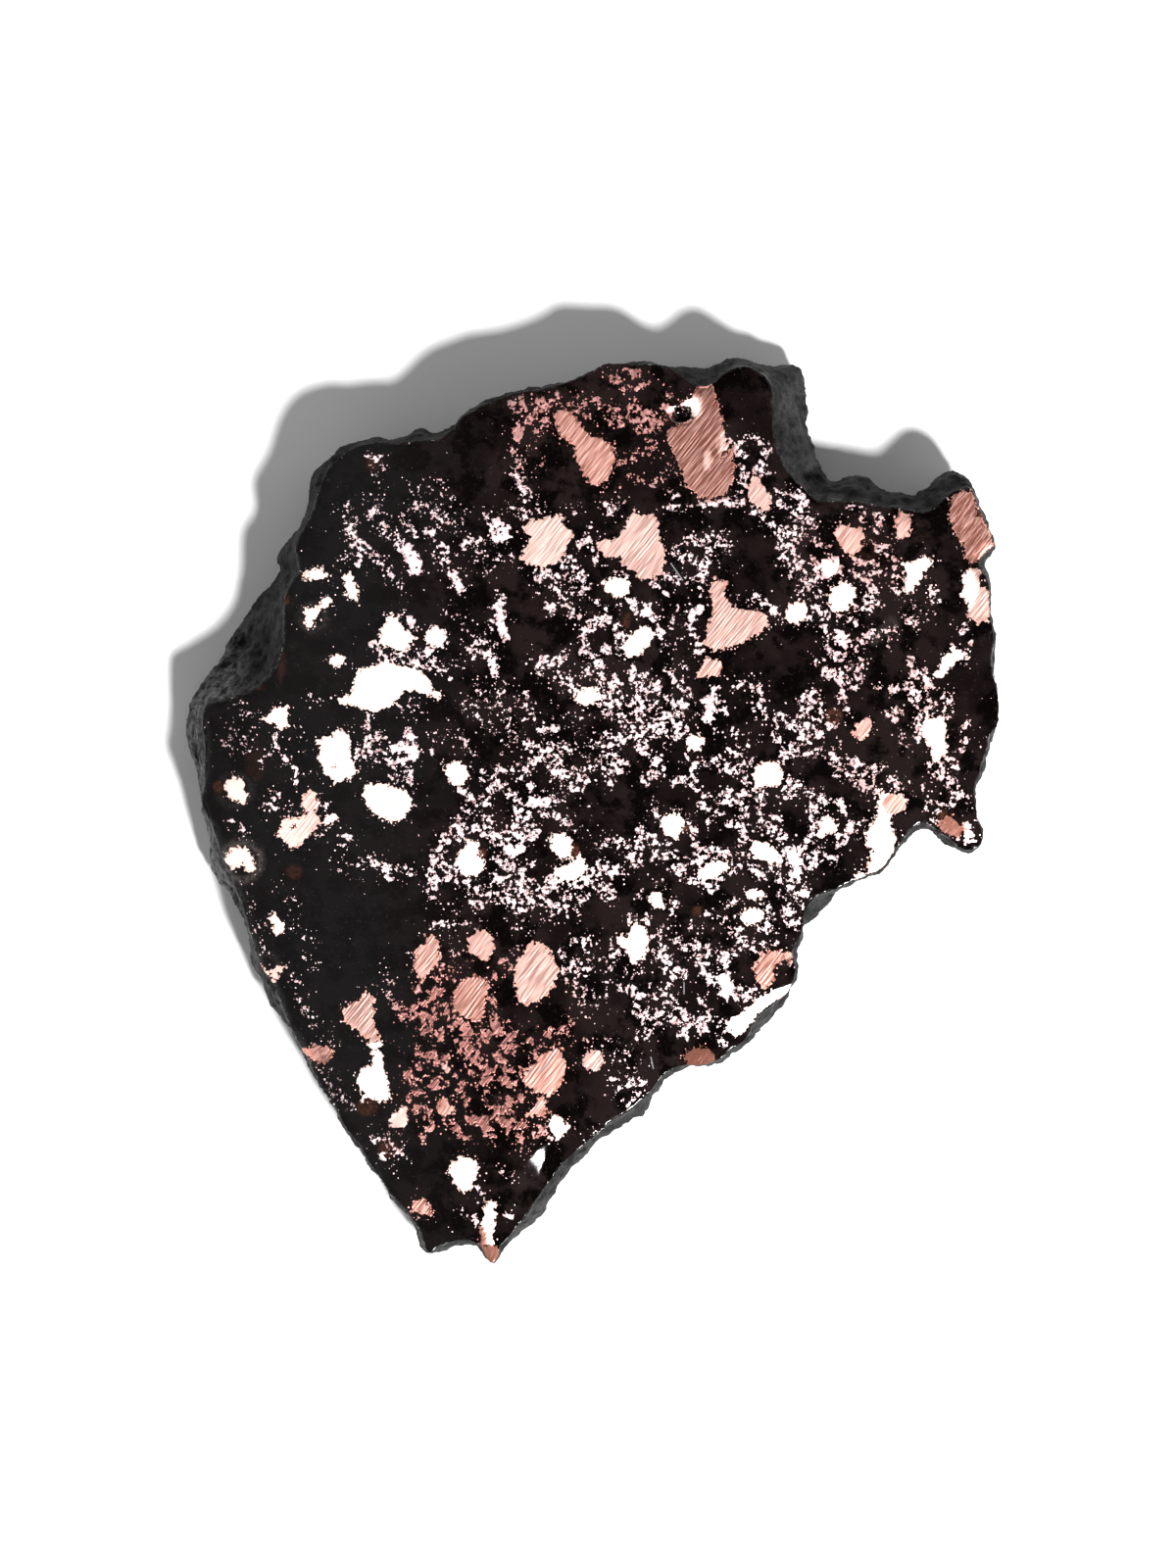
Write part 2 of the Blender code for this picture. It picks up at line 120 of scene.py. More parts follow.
# The rim of the polished face, clockwise from the west corner, in millimetres: u, v, u, v, ...
RIM = [
    20.7,72.4, 21.3,71.8, 23.6,71.2, 26.2,70.2, 27.2,69.3, 28.0,68.4, 28.9,66.0, 29.0,63.4, 29.1,60.9,
    29.8,59.4, 30.6,58.4, 30.4,57.0, 30.2,55.7, 30.5,54.7, 31.0,53.9, 31.9,52.2, 32.5,50.2, 32.9,49.1,
    33.7,47.6, 34.8,46.4, 35.8,45.8, 37.4,45.3, 38.9,45.1, 40.3,45.2, 41.0,45.1, 41.6,45.0, 42.8,44.9,
    43.6,44.9, 44.4,45.0, 45.2,44.6, 46.5,43.4, 47.6,42.3, 49.0,41.4, 49.8,41.1, 51.6,40.4, 52.3,40.0,
    53.1,40.0, 54.6,39.8, 56.3,39.5, 58.5,38.8, 60.3,38.0, 61.3,37.3, 62.7,37.0, 64.7,37.2, 66.3,37.2,
    68.0,37.4, 69.2,38.0, 70.2,38.7, 71.4,39.4, 72.4,39.3, 74.0,38.1, 75.1,37.5, 76.5,37.5, 77.9,38.3,
    78.6,39.4, 78.7,40.3, 78.9,41.8, 79.0,43.3, 79.1,44.7, 79.2,45.5, 79.4,46.2, 79.9,47.3, 80.7,48.5,
    81.7,49.5, 82.7,50.5, 83.7,51.1, 85.0,51.2, 86.8,51.1, 88.2,51.2, 90.0,51.6, 91.3,51.8, 93.1,52.1,
    94.4,52.3, 95.5,51.8, 96.5,50.8, 97.4,50.1, 98.4,49.8, 99.2,49.9, 99.8,51.4, 100.6,53.2, 101.3,54.9,
    101.5,55.6, 100.8,56.2, 100.1,57.2, 100.2,58.2, 100.8,59.3, 101.0,61.1, 101.1,62.7, 101.4,64.3,
    101.4,65.5, 101.2,67.2, 101.3,68.7, 101.7,70.1, 102.0,72.4, 101.8,74.1, 100.9,75.2, 100.8,76.3,
    100.3,77.8, 100.0,79.0, 99.4,80.5, 99.6,82.0, 99.8,83.6, 100.3,84.8, 100.3,85.6, 99.8,86.5, 98.8,86.8,
    98.0,86.5, 96.9,85.6, 95.8,84.8, 94.5,84.0, 93.4,84.4, 92.2,85.6, 91.0,87.3, 89.8,88.7, 88.3,89.4,
    86.9,90.1, 85.7,90.6, 84.7,91.0, 83.6,91.4, 82.7,92.2, 82.3,93.3, 82.0,94.6, 81.6,95.8, 80.9,97.1,
    81.2,98.6, 81.1,99.7, 80.4,101.2, 79.1,102.4, 77.8,103.4, 76.7,104.8, 76.0,106.2, 74.5,107.2,
    73.7,108.0, 72.8,108.4, 71.6,108.8, 70.0,108.7, 68.4,109.3, 67.3,110.2, 66.5,111.3, 65.3,112.5,
    64.4,113.3, 63.2,114.0, 62.2,114.6, 60.9,115.9, 59.7,116.8, 58.2,118.0, 56.9,119.5, 55.9,120.9,
    54.9,122.2, 53.9,123.9, 52.7,125.4, 51.8,126.4, 51.1,127.3, 50.8,128.3, 50.2,128.9, 49.6,128.3,
    49.2,127.3, 48.4,126.8, 46.9,126.6, 45.0,127.1, 43.8,127.9, 43.4,127.3, 43.0,126.0, 42.6,125.1,
    41.6,123.8, 40.1,122.1, 39.2,120.8, 38.3,119.5, 37.7,118.8, 36.7,117.0, 35.3,115.1, 34.4,113.4,
    33.0,111.4, 32.0,109.7, 31.4,108.1, 30.4,106.3, 29.3,104.0, 28.8,102.6, 28.2,101.0, 27.5,99.9,
    26.7,98.8, 26.2,97.4, 25.9,96.4, 25.4,95.0, 24.7,92.5, 24.0,90.2, 23.1,88.2, 22.4,86.6, 21.7,84.5,
    20.9,82.9, 20.4,81.5, 20.8,79.6, 20.9,77.5, 20.8,75.5, 20.6,73.9,
]

# Nuggets: how pink and dull the copper is, from 0 to 1, then the outline as u, v, u, v, ... The pinker tones
# are partly the copper's own tone and partly painted shade, for copper that the light's reflection misses.
NUGGETS = [
    (0.0, 344,712, 358,708, 361,695, 367,683, 379,681, 388,676, 398,674, 406,680, 417,680, 427,683, 435,689,
     440,699, 441,706, 450,706, 452,712, 444,712, 433,708, 423,705, 411,706, 406,714, 402,719, 390,723,
     377,727, 363,720, 348,719),
    (0.0, 399,627, 408,633, 411,641, 425,651, 419,656, 413,666, 404,664, 396,660, 386,656, 388,649, 390,641,
     394,633),
    (0.0, 349,589, 356,584, 360,587, 362,597, 367,606, 365,612, 360,612, 352,608, 353,601),
    (0.0, 307,588, 315,583, 323,580, 329,581, 334,585, 333,590, 319,591, 310,591),
    (0.0, 311,621, 323,620, 327,614, 335,608, 338,612, 337,618, 325,624, 321,631, 321,639, 316,641, 312,637,
     311,628),
    (0.0, 332,833, 338,830, 345,832, 341,840, 331,841),
    (0.0, 337,752, 344,745, 350,744, 356,751, 358,760, 357,770, 360,780, 366,785, 360,792, 350,797, 341,799,
     335,791, 328,785, 329,777, 323,773, 328,768, 325,761, 323,757, 328,752),
    (0.0, 373,801, 385,799, 396,800, 406,805, 415,808, 419,815, 421,823, 413,833, 404,839, 392,836, 381,831,
     375,823, 370,813),
    (0.35, 282,852, 287,843, 290,835, 300,835, 310,833, 314,828, 308,823, 308,817, 314,806, 320,808, 324,815,
     327,818, 323,823, 320,826, 325,834, 326,840, 320,848, 314,853, 309,860, 304,864, 298,866, 292,860,
     284,854),
    (0.1, 265,734, 272,732, 277,727, 281,721, 288,722, 294,721, 293,728, 291,737, 297,741, 292,743, 287,744,
     281,739, 272,736),
    (0.0, 228,799, 238,792, 245,795, 251,800, 249,808, 251,813, 247,820, 240,817, 232,813, 231,805),
    (0.0, 228,876, 235,868, 244,863, 252,866, 255,873, 259,880, 259,888, 253,890, 247,883, 237,887, 230,883,
     227,878),
    (0.0, 274,935, 280,931, 285,938, 290,942, 290,949, 283,954, 278,951, 280,944, 276,940),
    (0.2, 262,983, 266,985, 272,991, 279,988, 285,985, 290,988, 287,993, 283,996, 281,1003, 277,1001,
     276,994, 268,996, 262,991),
    (0.6, 373,1009, 376,1014, 382,1020, 380,1027, 383,1033, 380,1041, 384,1050, 386,1056, 388,1062,
     376,1064, 371,1056, 361,1048, 353,1045, 351,1037, 350,1029, 361,1023, 368,1020),
    (0.0, 376,1064, 388,1062, 390,1065, 386,1073, 391,1079, 391,1091, 395,1102, 399,1120, 390,1124, 382,1123,
     378,1120, 369,1123, 371,1116, 365,1106, 366,1095, 372,1088, 380,1087, 381,1075),
    (0.8, 305,1072, 312,1070, 322,1067, 330,1069, 335,1067, 341,1075, 335,1079, 333,1083, 328,1085, 320,1083,
     315,1078, 307,1077),
    (0.7, 432,952, 437,954, 443,955, 447,962, 448,970, 448,978, 445,984, 440,990, 435,995, 432,1003,
     429,1001, 427,994, 422,989, 422,980, 425,976, 423,970, 428,966, 434,963, 435,957),
    (0.55, 478,958, 484,952, 493,949, 501,953, 505,961, 503,972, 495,979, 487,977, 478,970),
    (0.88, 484,995, 491,997, 498,1001, 499,1010, 495,1018, 494,1029, 493,1039, 490,1045, 482,1041, 472,1037,
     464,1031, 461,1021, 464,1012, 470,1002, 478,998),
    (0.55, 544,961, 555,964, 565,976, 570,991, 566,1004, 555,1018, 538,1026, 530,1022, 526,1008, 523,997,
     528,982, 534,972),
    (0.8, 567,1069, 574,1071, 573,1078, 577,1085, 578,1095, 574,1100, 572,1108, 566,1113, 560,1118, 552,1117,
     544,1112, 535,1106, 533,1098, 539,1090, 547,1084, 546,1078, 553,1075, 560,1074),
    (0.1, 461,1187, 471,1180, 483,1183, 488,1189, 488,1196, 485,1204, 479,1215, 471,1216, 465,1208,
     459,1200, 458,1193),
    (0.1, 500,1225, 505,1229, 506,1239, 504,1252, 503,1264, 505,1271, 490,1270, 490,1254, 493,1243,
     494,1231),
    (1.8, 490,1270, 505,1271, 512,1279, 509,1289, 503,1296, 497,1294, 492,1279),
    (0.85, 420,1228, 428,1224, 433,1224, 438,1230, 441,1237, 440,1243, 435,1238, 427,1238, 419,1237),
    (0.1, 560,1143, 566,1138, 573,1140, 577,1146, 583,1148, 578,1155, 574,1160, 570,1164, 566,1160,
     561,1152),
    (0.75, 450,1119, 457,1124, 464,1131, 462,1136, 455,1140, 447,1138, 446,1129),
    (0.75, 536,1138, 545,1127, 549,1121, 557,1122, 556,1130, 560,1138, 545,1139),
    (0.8, 570,419, 581,420, 587,426, 595,438, 600,445, 614,448, 621,453, 628,463, 625,475, 620,488, 612,495,
     603,493, 596,486, 593,476, 587,469, 587,459, 583,451, 571,446, 569,436, 564,426),
    (1.0, 714,384, 721,385, 729,396, 731,407, 735,423, 739,436, 740,450, 746,459, 748,467, 748,478, 747,490,
     739,505, 723,509, 712,505, 700,494, 695,480, 689,463, 681,450, 683,438, 698,432, 708,426, 702,417,
     691,413, 698,408, 708,403, 712,394),
    (0.3, 552,530, 568,526, 575,528, 575,536, 585,544, 581,553, 575,565, 568,575, 552,579, 541,576,
     531,569, 539,555, 540,548, 534,538, 543,530),
    (0.38, 646,521, 652,526, 668,526, 671,536, 673,546, 677,561, 680,573, 675,586, 658,592, 650,586, 637,578,
     635,569, 616,569, 610,557, 608,551, 629,551, 637,540, 641,528),
    (0.0, 614,596, 621,589, 633,588, 642,592, 643,600, 639,607, 629,610, 620,605),
    (0.5, 729,588, 741,594, 738,607, 748,620, 773,623, 784,629, 780,642, 754,658, 729,664, 719,658, 722,639,
     729,623, 725,607, 727,594),
    (0.5, 722,671, 735,674, 738,687, 709,691, 716,680),
    (0.4, 769,482, 778,494, 786,507, 786,519, 776,519, 765,511, 763,498),
    (0.6, 852,540, 859,536, 878,538, 882,546, 878,557, 873,567, 865,566, 857,557, 851,544),
    (0.6, 913,532, 919,523, 928,525, 930,538, 925,548, 915,548),
    (0.96, 971,509, 979,501, 990,501, 996,513, 1000,526, 1007,538, 1015,548, 1015,557, 1005,567, 994,576,
     986,569, 984,557, 978,546, 971,536, 970,523),
    (0.45, 981,588, 992,579, 999,582, 1001,598, 1009,605, 1011,617, 1009,634, 996,636, 988,628, 988,617,
     979,607, 984,600),
    (0.05, 848,600, 863,592, 872,601, 871,615, 859,625, 850,625, 845,613),
    (0.1, 800,622, 808,616, 822,614, 825,622, 822,630, 815,637, 803,635),
    (0.0, 919,575, 932,573, 944,567, 953,575, 942,584, 938,596, 926,607, 919,605, 926,594, 925,584),
    (0.6, 887,733, 890,739, 886,751, 879,755, 870,749, 875,737),
    (0.1, 946,731, 960,731, 966,741, 964,755, 968,768, 960,774, 952,778, 950,764, 945,758, 939,745, 942,735),
    (0.0, 971,656, 979,666, 988,672, 973,676, 968,683, 961,693, 952,687, 960,680, 960,670, 970,666),
    (0.1, 773,780, 787,776, 796,781, 800,793, 795,801, 779,803, 770,806, 768,793),
    (0.05, 898,805, 902,812, 912,809, 923,812, 926,822, 920,828, 910,831, 909,843, 914,853, 912,866,
     910,880, 902,889, 895,893, 887,889, 885,878, 891,870, 883,860, 883,849, 893,837, 895,822),
    (0.0, 764,866, 771,858, 783,860, 793,870, 800,878, 795,883, 783,880, 771,876),
    (0.0, 838,835, 845,832, 852,838, 855,845, 850,850, 842,851, 838,855, 834,853, 836,845),
    (0.0, 711,893, 722,880, 735,877, 743,880, 745,885, 738,890, 732,895, 725,898, 715,897),
    (0.0, 675,835, 684,830, 694,830, 700,838, 697,848, 690,857, 680,852, 674,844),
    (0.0, 480,856, 488,861, 492,872, 495,882, 486,895, 474,894, 464,882, 469,869),
    (0.0, 564,851, 576,850, 583,857, 585,869, 582,878, 572,876, 564,869, 561,859),
    (0.0, 591,869, 597,878, 599,888, 591,897, 578,899, 566,894, 564,886, 582,883, 587,876),
    (0.0, 466,776, 477,784, 479,794, 472,802, 460,800, 453,788, 456,781),
    (0.0, 650,941, 658,945, 661,953, 661,970, 657,977, 651,978, 650,985, 645,983, 643,977, 638,972, 640,966,
     634,966, 629,962, 629,955, 634,954, 640,957, 643,952, 644,946),
    (0.0, 662,912, 668,909, 675,912, 676,920, 677,928, 672,929, 667,923, 663,918),
    (0.9, 788,970, 809,973, 809,981, 798,979, 788,989, 790,1002, 780,1010, 773,1002, 769,987, 776,975),
    (0.0, 741,1043, 752,1036, 763,1028, 778,1018, 792,1011, 803,1009, 809,1012, 798,1018, 785,1024, 776,1032,
     767,1043, 759,1054, 750,1057, 744,1052),
    (2.0, 701,1073, 715,1068, 725,1071, 730,1079, 726,1087, 717,1092, 703,1090, 698,1083),
    (1.75, 958,842, 963,835, 970,832, 976,838, 980,842, 982,849, 977,853, 970,852, 962,848),
]

# Round and oval grains: how pink, partly painted shade as for the nuggets, centre u and v, half width,
# half height, turn in degrees
GRAINS = [
    (0.0, 344, 674, 8, 6, 0), (0.35, 605, 1082, 11, 10, 0), (0.3, 411, 1133, 5, 5, 0),
    (0.3, 407, 1143, 9, 8, 0), (0.5, 455, 1090, 4, 4, 0), (0.1, 845, 578, 10, 7, 0),
    (0.0, 879, 896, 6, 6, 0), (0.0, 819, 912, 7, 4, 0), (0.0, 651, 655, 19, 11, 45),
    (0.0, 600, 711, 13, 9, 0), (0.0, 709, 758, 9, 9, 0), (0.0, 767, 935, 12, 9, 0),
    (0.0, 771, 913, 10, 5, 0), (0.0, 443, 650, 10, 10, 0),
]

# Strokes of copper lace: half width, then the points as u, v, u, v, ...
DENSE = [
    (8, 415,562, 420,570, 424,580), (6, 468,596, 471,600), (8, 506,535, 512,540, 506,547, 514,546),
    (4, 409,625), (4, 418,633, 423,642), (10, 443,648, 448,652),
    (6, 511,612, 507,622, 512,628, 511,636, 515,648), (5, 500,665, 503,675, 505,688), (6, 680,416, 683,420),
    (6, 559,618, 563,620), (5, 643,612, 649,624, 655,627, 659,620, 664,630, 670,634), (4, 672,642, 676,648),
    (4, 627,692, 632,698), (5, 645,684, 645,695), (6, 703,630, 708,625, 713,622),
    (7, 722,715, 726,722, 721,731), (4, 730,745), (4, 743,765, 748,768, 752,773), (6, 835,750),
    (4, 722,838), (4, 790,835, 796,837), (4, 775,472, 780,478, 783,482), (4, 795,512, 800,517),
    (7, 843,575, 850,573, 855,580, 845,585), (8, 857,650, 862,655), (3, 904,645, 908,658), (3, 913,642),
    (5, 941,685, 945,695, 950,700), (5, 911,704, 915,706), (6, 912,733), (5, 480,815),
    (7, 518,866, 524,870, 532,865), (7, 543,818, 553,820, 565,817), (4, 522,786), (4, 515,785),
    (4, 530,795), (4, 527,756), (5, 622,800), (3, 607,797), (3, 600,823), (4, 542,881), (5, 668,873),
    (6, 623,890, 628,888), (4, 684,920, 688,923, 686,930), (4, 752,974), (8, 738,998, 744,1006, 740,1012),
    (3, 720,932, 728,933), (3, 675,1043), (4, 530,967), (4, 575,990), (5, 597,1083),
    (4, 859,817, 862,828, 865,836, 869,846), (7, 803,869, 812,872, 816,882, 812,892),
    (5, 985,842, 990,845, 988,852, 993,858), (2, 233,716, 241,720, 247,726, 262,730),
    (3, 282,748, 280,757, 284,766, 292,775, 300,782, 303,788, 301,797, 304,802), (3, 322,852, 327,854),
    (4, 350,853, 357,856), (3, 376,730, 373,738, 377,747), (7, 405,763, 415,762, 422,770, 418,750),
    (3, 394,752), (3, 380,883, 388,886, 393,894, 399,898),
]
LACE = [
    (5, 355,518, 352,524), (7, 358,532, 358,545, 365,555, 370,562), (5, 366,568, 366,575),
    (5, 371,562, 378,564, 384,570, 388,577, 397,580, 396,586), (5, 378,526, 384,521),
    (5, 380,532, 388,536, 397,531), (4, 391,540, 394,546), (6, 400,545, 405,552, 410,558),
    (5, 416,523, 414,530, 416,538), (5, 426,516, 430,521, 436,519, 447,525, 453,530), (4, 420,540, 425,545),
    (5, 437,543, 441,546), (6, 447,566, 454,558, 452,570, 460,583, 465,590), (4, 494,526, 499,528, 503,535),
    (5, 495,550, 488,552, 477,553, 473,558), (3, 516,515, 524,518), (4, 507,570, 510,568),
    (4, 408,597, 410,594), (5, 382,658, 388,666, 392,672), (6, 437,665, 428,672, 420,676, 410,672, 402,672),
    (4, 430,680, 436,681), (5, 441,675, 448,680, 452,688, 456,692), (4, 501,635, 503,640),
    (4, 487,653, 493,655, 500,658, 505,655), (5, 480,663, 485,670, 492,668),
    (6, 523,411, 532,415, 543,418, 553,415, 562,413, 570,410, 580,412, 588,418), (5, 533,401, 532,408),
    (4, 553,404, 550,410), (3, 570,401), (6, 528,423, 532,432, 528,440, 526,445), (5, 535,430, 540,428),
    (6, 553,430, 560,428, 563,434), (3, 543,432, 544,438, 549,441), (3, 521,459, 526,458, 527,464),
    (5, 529,470, 532,473, 526,478), (4, 524,481, 528,488, 531,495, 536,500, 541,506), (3, 533,484, 536,488),
    (4, 533,508, 536,510), (5, 530,523, 533,528, 536,522), (4, 585,521, 589,521), (4, 554,469),
    (5, 608,408, 614,413), (3, 590,405, 596,408), (4, 624,412, 628,418), (6, 622,424, 628,430, 635,430),
    (6, 643,377, 646,382, 650,381), (4, 624,386, 633,391, 637,395), (3, 645,396, 660,392),
    (4, 647,408, 645,414), (8, 648,420, 655,425, 652,432, 660,436), (7, 665,425, 672,430, 668,436),
    (3, 676,402, 683,404), (5, 650,463, 643,466, 636,468, 634,475), (5, 660,463, 666,457, 663,450),
    (3, 640,483, 646,487, 658,492), (4, 665,493, 675,490), (4, 680,500, 690,505, 683,518, 690,520, 697,515),
    (3, 617,515, 622,520, 627,530), (4, 628,515, 630,520), (3, 603,535, 602,545, 604,553),
    (4, 590,558, 597,556, 603,560), (5, 600,545, 600,555, 592,557), (4, 608,572, 612,570),
    (8, 578,573, 585,580, 590,585), (7, 550,587, 556,583), (5, 563,587, 570,591, 578,592),
    (5, 590,588, 598,592, 600,597), (5, 565,600, 572,610, 578,618, 584,625, 590,628), (5, 583,603, 592,602),
    (3, 603,611, 610,616, 616,618, 620,625), (4, 630,622, 634,617),
    (6, 610,676, 602,672, 597,664, 594,656, 595,648, 600,640, 608,633, 618,635, 627,638, 632,647,
     636,655, 633,664), (4, 618,660, 615,665, 622,663),
    (6, 575,668, 570,675, 562,678, 556,672, 548,675, 550,685), (7, 570,690, 577,695, 585,702, 590,708),
    (5, 600,690, 598,683), (4, 606,695), (5, 615,680, 617,688, 613,693), (9, 612,708, 625,705, 633,712),
    (8, 618,722, 630,728, 640,735), (9, 648,718, 660,722, 672,726), (8, 655,705, 663,712, 668,700),
    (5, 657,690, 660,697, 658,703), (4, 680,685, 688,694), (5, 695,697, 700,705, 703,710),
    (5, 680,712, 690,718, 693,725), (5, 700,552, 712,550, 722,555, 728,548, 735,545),
    (5, 690,563, 698,568, 708,570, 715,575, 722,568, 726,558), (5, 718,580, 715,590, 718,598, 716,605),
    (4, 700,592, 708,590), (4, 700,640, 706,645, 710,652, 714,660), (4, 712,665, 718,662),
    (4, 697,682, 700,688), (5, 690,592, 680,588, 670,590, 668,596), (3, 677,600, 680,605),
    (7, 655,700, 663,710, 668,722, 672,735), (8, 650,730, 658,740, 648,748, 655,755),
    (9, 668,745, 680,742, 688,735, 695,722), (7, 678,752, 690,750, 697,745),
    (6, 655,765, 662,770, 670,775, 673,783, 668,790, 660,795),
    (4, 680,795, 688,798, 697,795, 703,800, 710,806, 716,812, 722,812),
    (5, 702,770, 708,776, 713,778, 722,777, 732,775), (6, 735,780, 742,783, 750,787),
    (4, 706,785, 709,792, 712,798), (4, 733,700, 728,705, 731,712, 735,718, 740,727), (3, 752,697, 758,700),
    (5, 770,708, 776,703), (4, 774,702, 777,712, 778,722, 783,733), (5, 768,720, 773,722),
    (4, 793,735, 800,733, 806,738), (3, 745,743, 748,748, 753,752), (5, 753,775, 760,778, 765,775, 760,785),
    (4, 789,745, 793,752, 797,758, 800,770), (5, 797,775, 803,770, 808,765, 812,760),
    (6, 826,732, 820,735, 822,745, 815,748, 825,755), (6, 820,722, 822,712, 828,708, 835,715),
    (4, 815,770, 822,771, 832,768, 838,765), (4, 803,795, 808,800, 803,808, 795,812),
    (8, 735,815, 741,812, 748,815), (6, 755,812, 758,820, 757,830),
    (5, 762,795, 765,805, 770,812, 778,812, 777,820), (4, 775,825, 778,835, 783,845),
    (4, 715,822, 722,825, 730,825, 735,830), (5, 745,840, 755,842, 760,850, 757,860, 762,870),
    (6, 770,845, 780,840, 790,848, 798,853), (4, 669,820, 670,830, 668,838),
    (4, 690,825, 693,832, 700,835, 705,838), (5, 707,845, 710,855, 707,862, 715,865),
    (7, 655,850, 662,855, 668,862), (5, 672,868, 680,875, 690,875), (7, 648,860, 650,870, 645,880),
    (6, 690,885, 700,880, 712,880, 720,872, 735,870), (5, 740,870, 745,878),
    (5, 805,880, 812,870, 820,865, 826,860, 832,850, 830,838, 828,825, 832,820),
    (7, 815,875, 820,882, 828,880, 835,870), (3, 745,450, 755,452, 762,448), (5, 773,450, 778,457, 780,462),
    (4, 770,442), (4, 786,452, 790,460), (5, 740,460, 750,458, 760,465), (5, 755,478, 760,485, 757,493),
    (5, 768,482, 775,485), (4, 703,515, 712,513, 725,515, 735,513, 742,512, 750,515, 758,512),
    (5, 770,520, 778,525, 785,530, 790,538), (4, 795,500, 800,503),
    (6, 812,505, 818,500, 820,512, 815,520, 812,528), (4, 805,530, 810,535, 815,530),
    (5, 822,530, 828,532, 832,537), (8, 795,540, 802,548, 808,553, 800,558, 815,545),
    (7, 800,565, 808,570, 813,575), (4, 825,545, 832,550, 838,555, 845,560), (4, 830,572, 835,578),
    (6, 818,585, 822,592, 828,598, 838,590, 832,585), (4, 808,588, 812,585),
    (4, 860,588, 868,585, 875,588, 882,592, 888,597, 893,602), (6, 890,605, 885,610, 893,615),
    (5, 893,540, 897,532, 895,525), (5, 890,555, 895,560), (6, 875,572, 885,575, 893,580, 888,587),
    (4, 865,518, 873,516, 883,515), (4, 882,525, 880,530), (4, 830,610, 838,606), (4, 815,605, 812,612),
    (6, 830,620, 838,628, 845,632, 852,625), (5, 868,620, 878,620, 888,618), (5, 743,562, 738,555, 735,545),
    (5, 735,548, 728,552, 725,560, 722,567, 720,575), (4, 773,607, 778,612, 785,617, 792,625, 798,632),
    (6, 835,625, 848,630, 855,628), (4, 825,630), (4, 865,632, 872,636),
    (4, 841,640, 843,650, 845,660, 848,668), (7, 855,670, 862,675, 860,680),
    (6, 838,673, 840,680, 845,685, 843,690), (4, 883,648, 878,655, 875,662, 880,672),
    (6, 875,680, 877,688, 880,692), (5, 888,645, 893,648), (6, 855,695, 862,690, 866,693),
    (5, 850,692, 857,700, 858,710, 860,715), (4, 868,705, 872,703), (4, 895,703, 897,700),
    (4, 923,630, 930,635, 934,637), (5, 838,732, 843,738, 850,740), (4, 864,725, 869,728),
    (6, 822,722, 825,712, 830,716, 836,722), (6, 812,742, 815,735, 820,733, 828,735), (5, 795,730, 800,735),
    (6, 840,765, 845,770, 848,775, 855,778), (5, 865,775, 872,778, 880,782, 890,785, 902,780),
    (6, 868,792, 875,797, 882,805), (5, 880,790, 890,790), (4, 857,785, 854,790),
    (4, 908,795, 915,800, 918,803), (5, 929,673, 932,680, 933,688), (6, 980,668, 985,672),
    (7, 925,700, 930,708, 938,712, 945,710), (5, 962,705, 966,712, 968,722, 965,730),
    (5, 935,725, 937,735, 936,745, 938,755), (4, 905,728, 910,733, 918,725), (7, 950,725, 953,720),
    (6, 950,785, 955,780, 960,785), (5, 968,775, 975,780), (6, 962,790, 968,795, 974,801),
    (4, 985,755, 982,765), (4, 980,745, 987,740), (5, 985,640, 982,645), (5, 988,655),
    (4, 985,810, 988,820), (5, 978,812, 972,820), (3, 472,755, 476,760, 482,768, 491,774), (4, 442,767),
    (4, 470,805, 478,810), (5, 488,786, 493,792, 502,791, 508,784),
    (6, 500,808, 508,800, 518,804, 525,812, 527,824), (5, 495,810, 496,820, 496,830, 500,838),
    (7, 480,822, 472,832, 466,845, 474,852), (5, 485,845, 492,850, 498,845), (6, 497,838, 500,852, 507,860),
    (8, 524,818, 527,828, 527,840), (7, 535,830, 538,840, 545,848), (8, 518,853, 530,852, 541,855),
    (5, 555,830, 564,832, 572,836, 582,838), (4, 548,812, 552,809),
    (6, 537,760, 545,765, 552,762, 560,763, 572,762, 578,765), (6, 550,772, 557,775, 565,772, 570,775),
    (5, 562,785, 565,790), (5, 543,777, 541,784, 534,789), (6, 574,786, 576,796, 582,805, 590,803),
    (5, 593,795, 598,798), (4, 570,808, 573,812), (4, 560,745, 567,742), (4, 541,802, 541,806),
    (6, 618,750, 622,757, 632,755, 638,745), (7, 606,780, 616,780, 622,788, 630,783, 638,778),
    (5, 618,772, 616,765), (5, 628,770, 632,765, 636,760), (5, 618,860, 625,862, 635,860),
    (6, 455,855, 452,860, 450,868, 445,872, 442,880), (7, 452,880, 458,885, 455,893, 463,890),
    (6, 440,890, 443,895, 441,905, 440,912), (5, 462,858, 467,855),
    (5, 475,900, 478,905, 480,912, 483,920, 490,925), (6, 508,874, 513,880, 522,886, 532,889),
    (6, 505,893, 512,898, 520,903), (5, 487,908, 493,912, 498,905), (7, 503,917, 512,917, 520,917),
    (9, 533,905, 530,915, 528,925, 537,922), (5, 535,898, 542,900, 545,908), (6, 550,917, 556,920, 560,923),
    (5, 563,905, 553,908), (7, 563,897, 575,900, 588,903, 597,898), (6, 575,910, 582,913, 590,917, 597,915),
    (7, 565,926, 573,924, 578,930, 585,932), (8, 603,893, 610,905, 622,912),
    (7, 610,880, 615,885, 623,890, 630,888), (6, 640,865, 645,872, 652,877), (6, 682,862, 685,872),
    (5, 692,880, 694,890, 697,898, 708,898, 716,898), (6, 742,890, 750,887, 757,880), (5, 722,903, 726,906),
    (4, 735,898, 732,902), (5, 712,872, 720,868, 732,869), (5, 763,884, 773,888, 778,895, 788,890),
    (5, 795,895, 800,902, 808,903, 813,900), (7, 805,872, 812,870, 818,872, 817,880, 812,890),
    (4, 643,940, 645,933, 648,937), (4, 658,935, 660,940), (5, 622,963, 630,970, 627,978, 622,985),
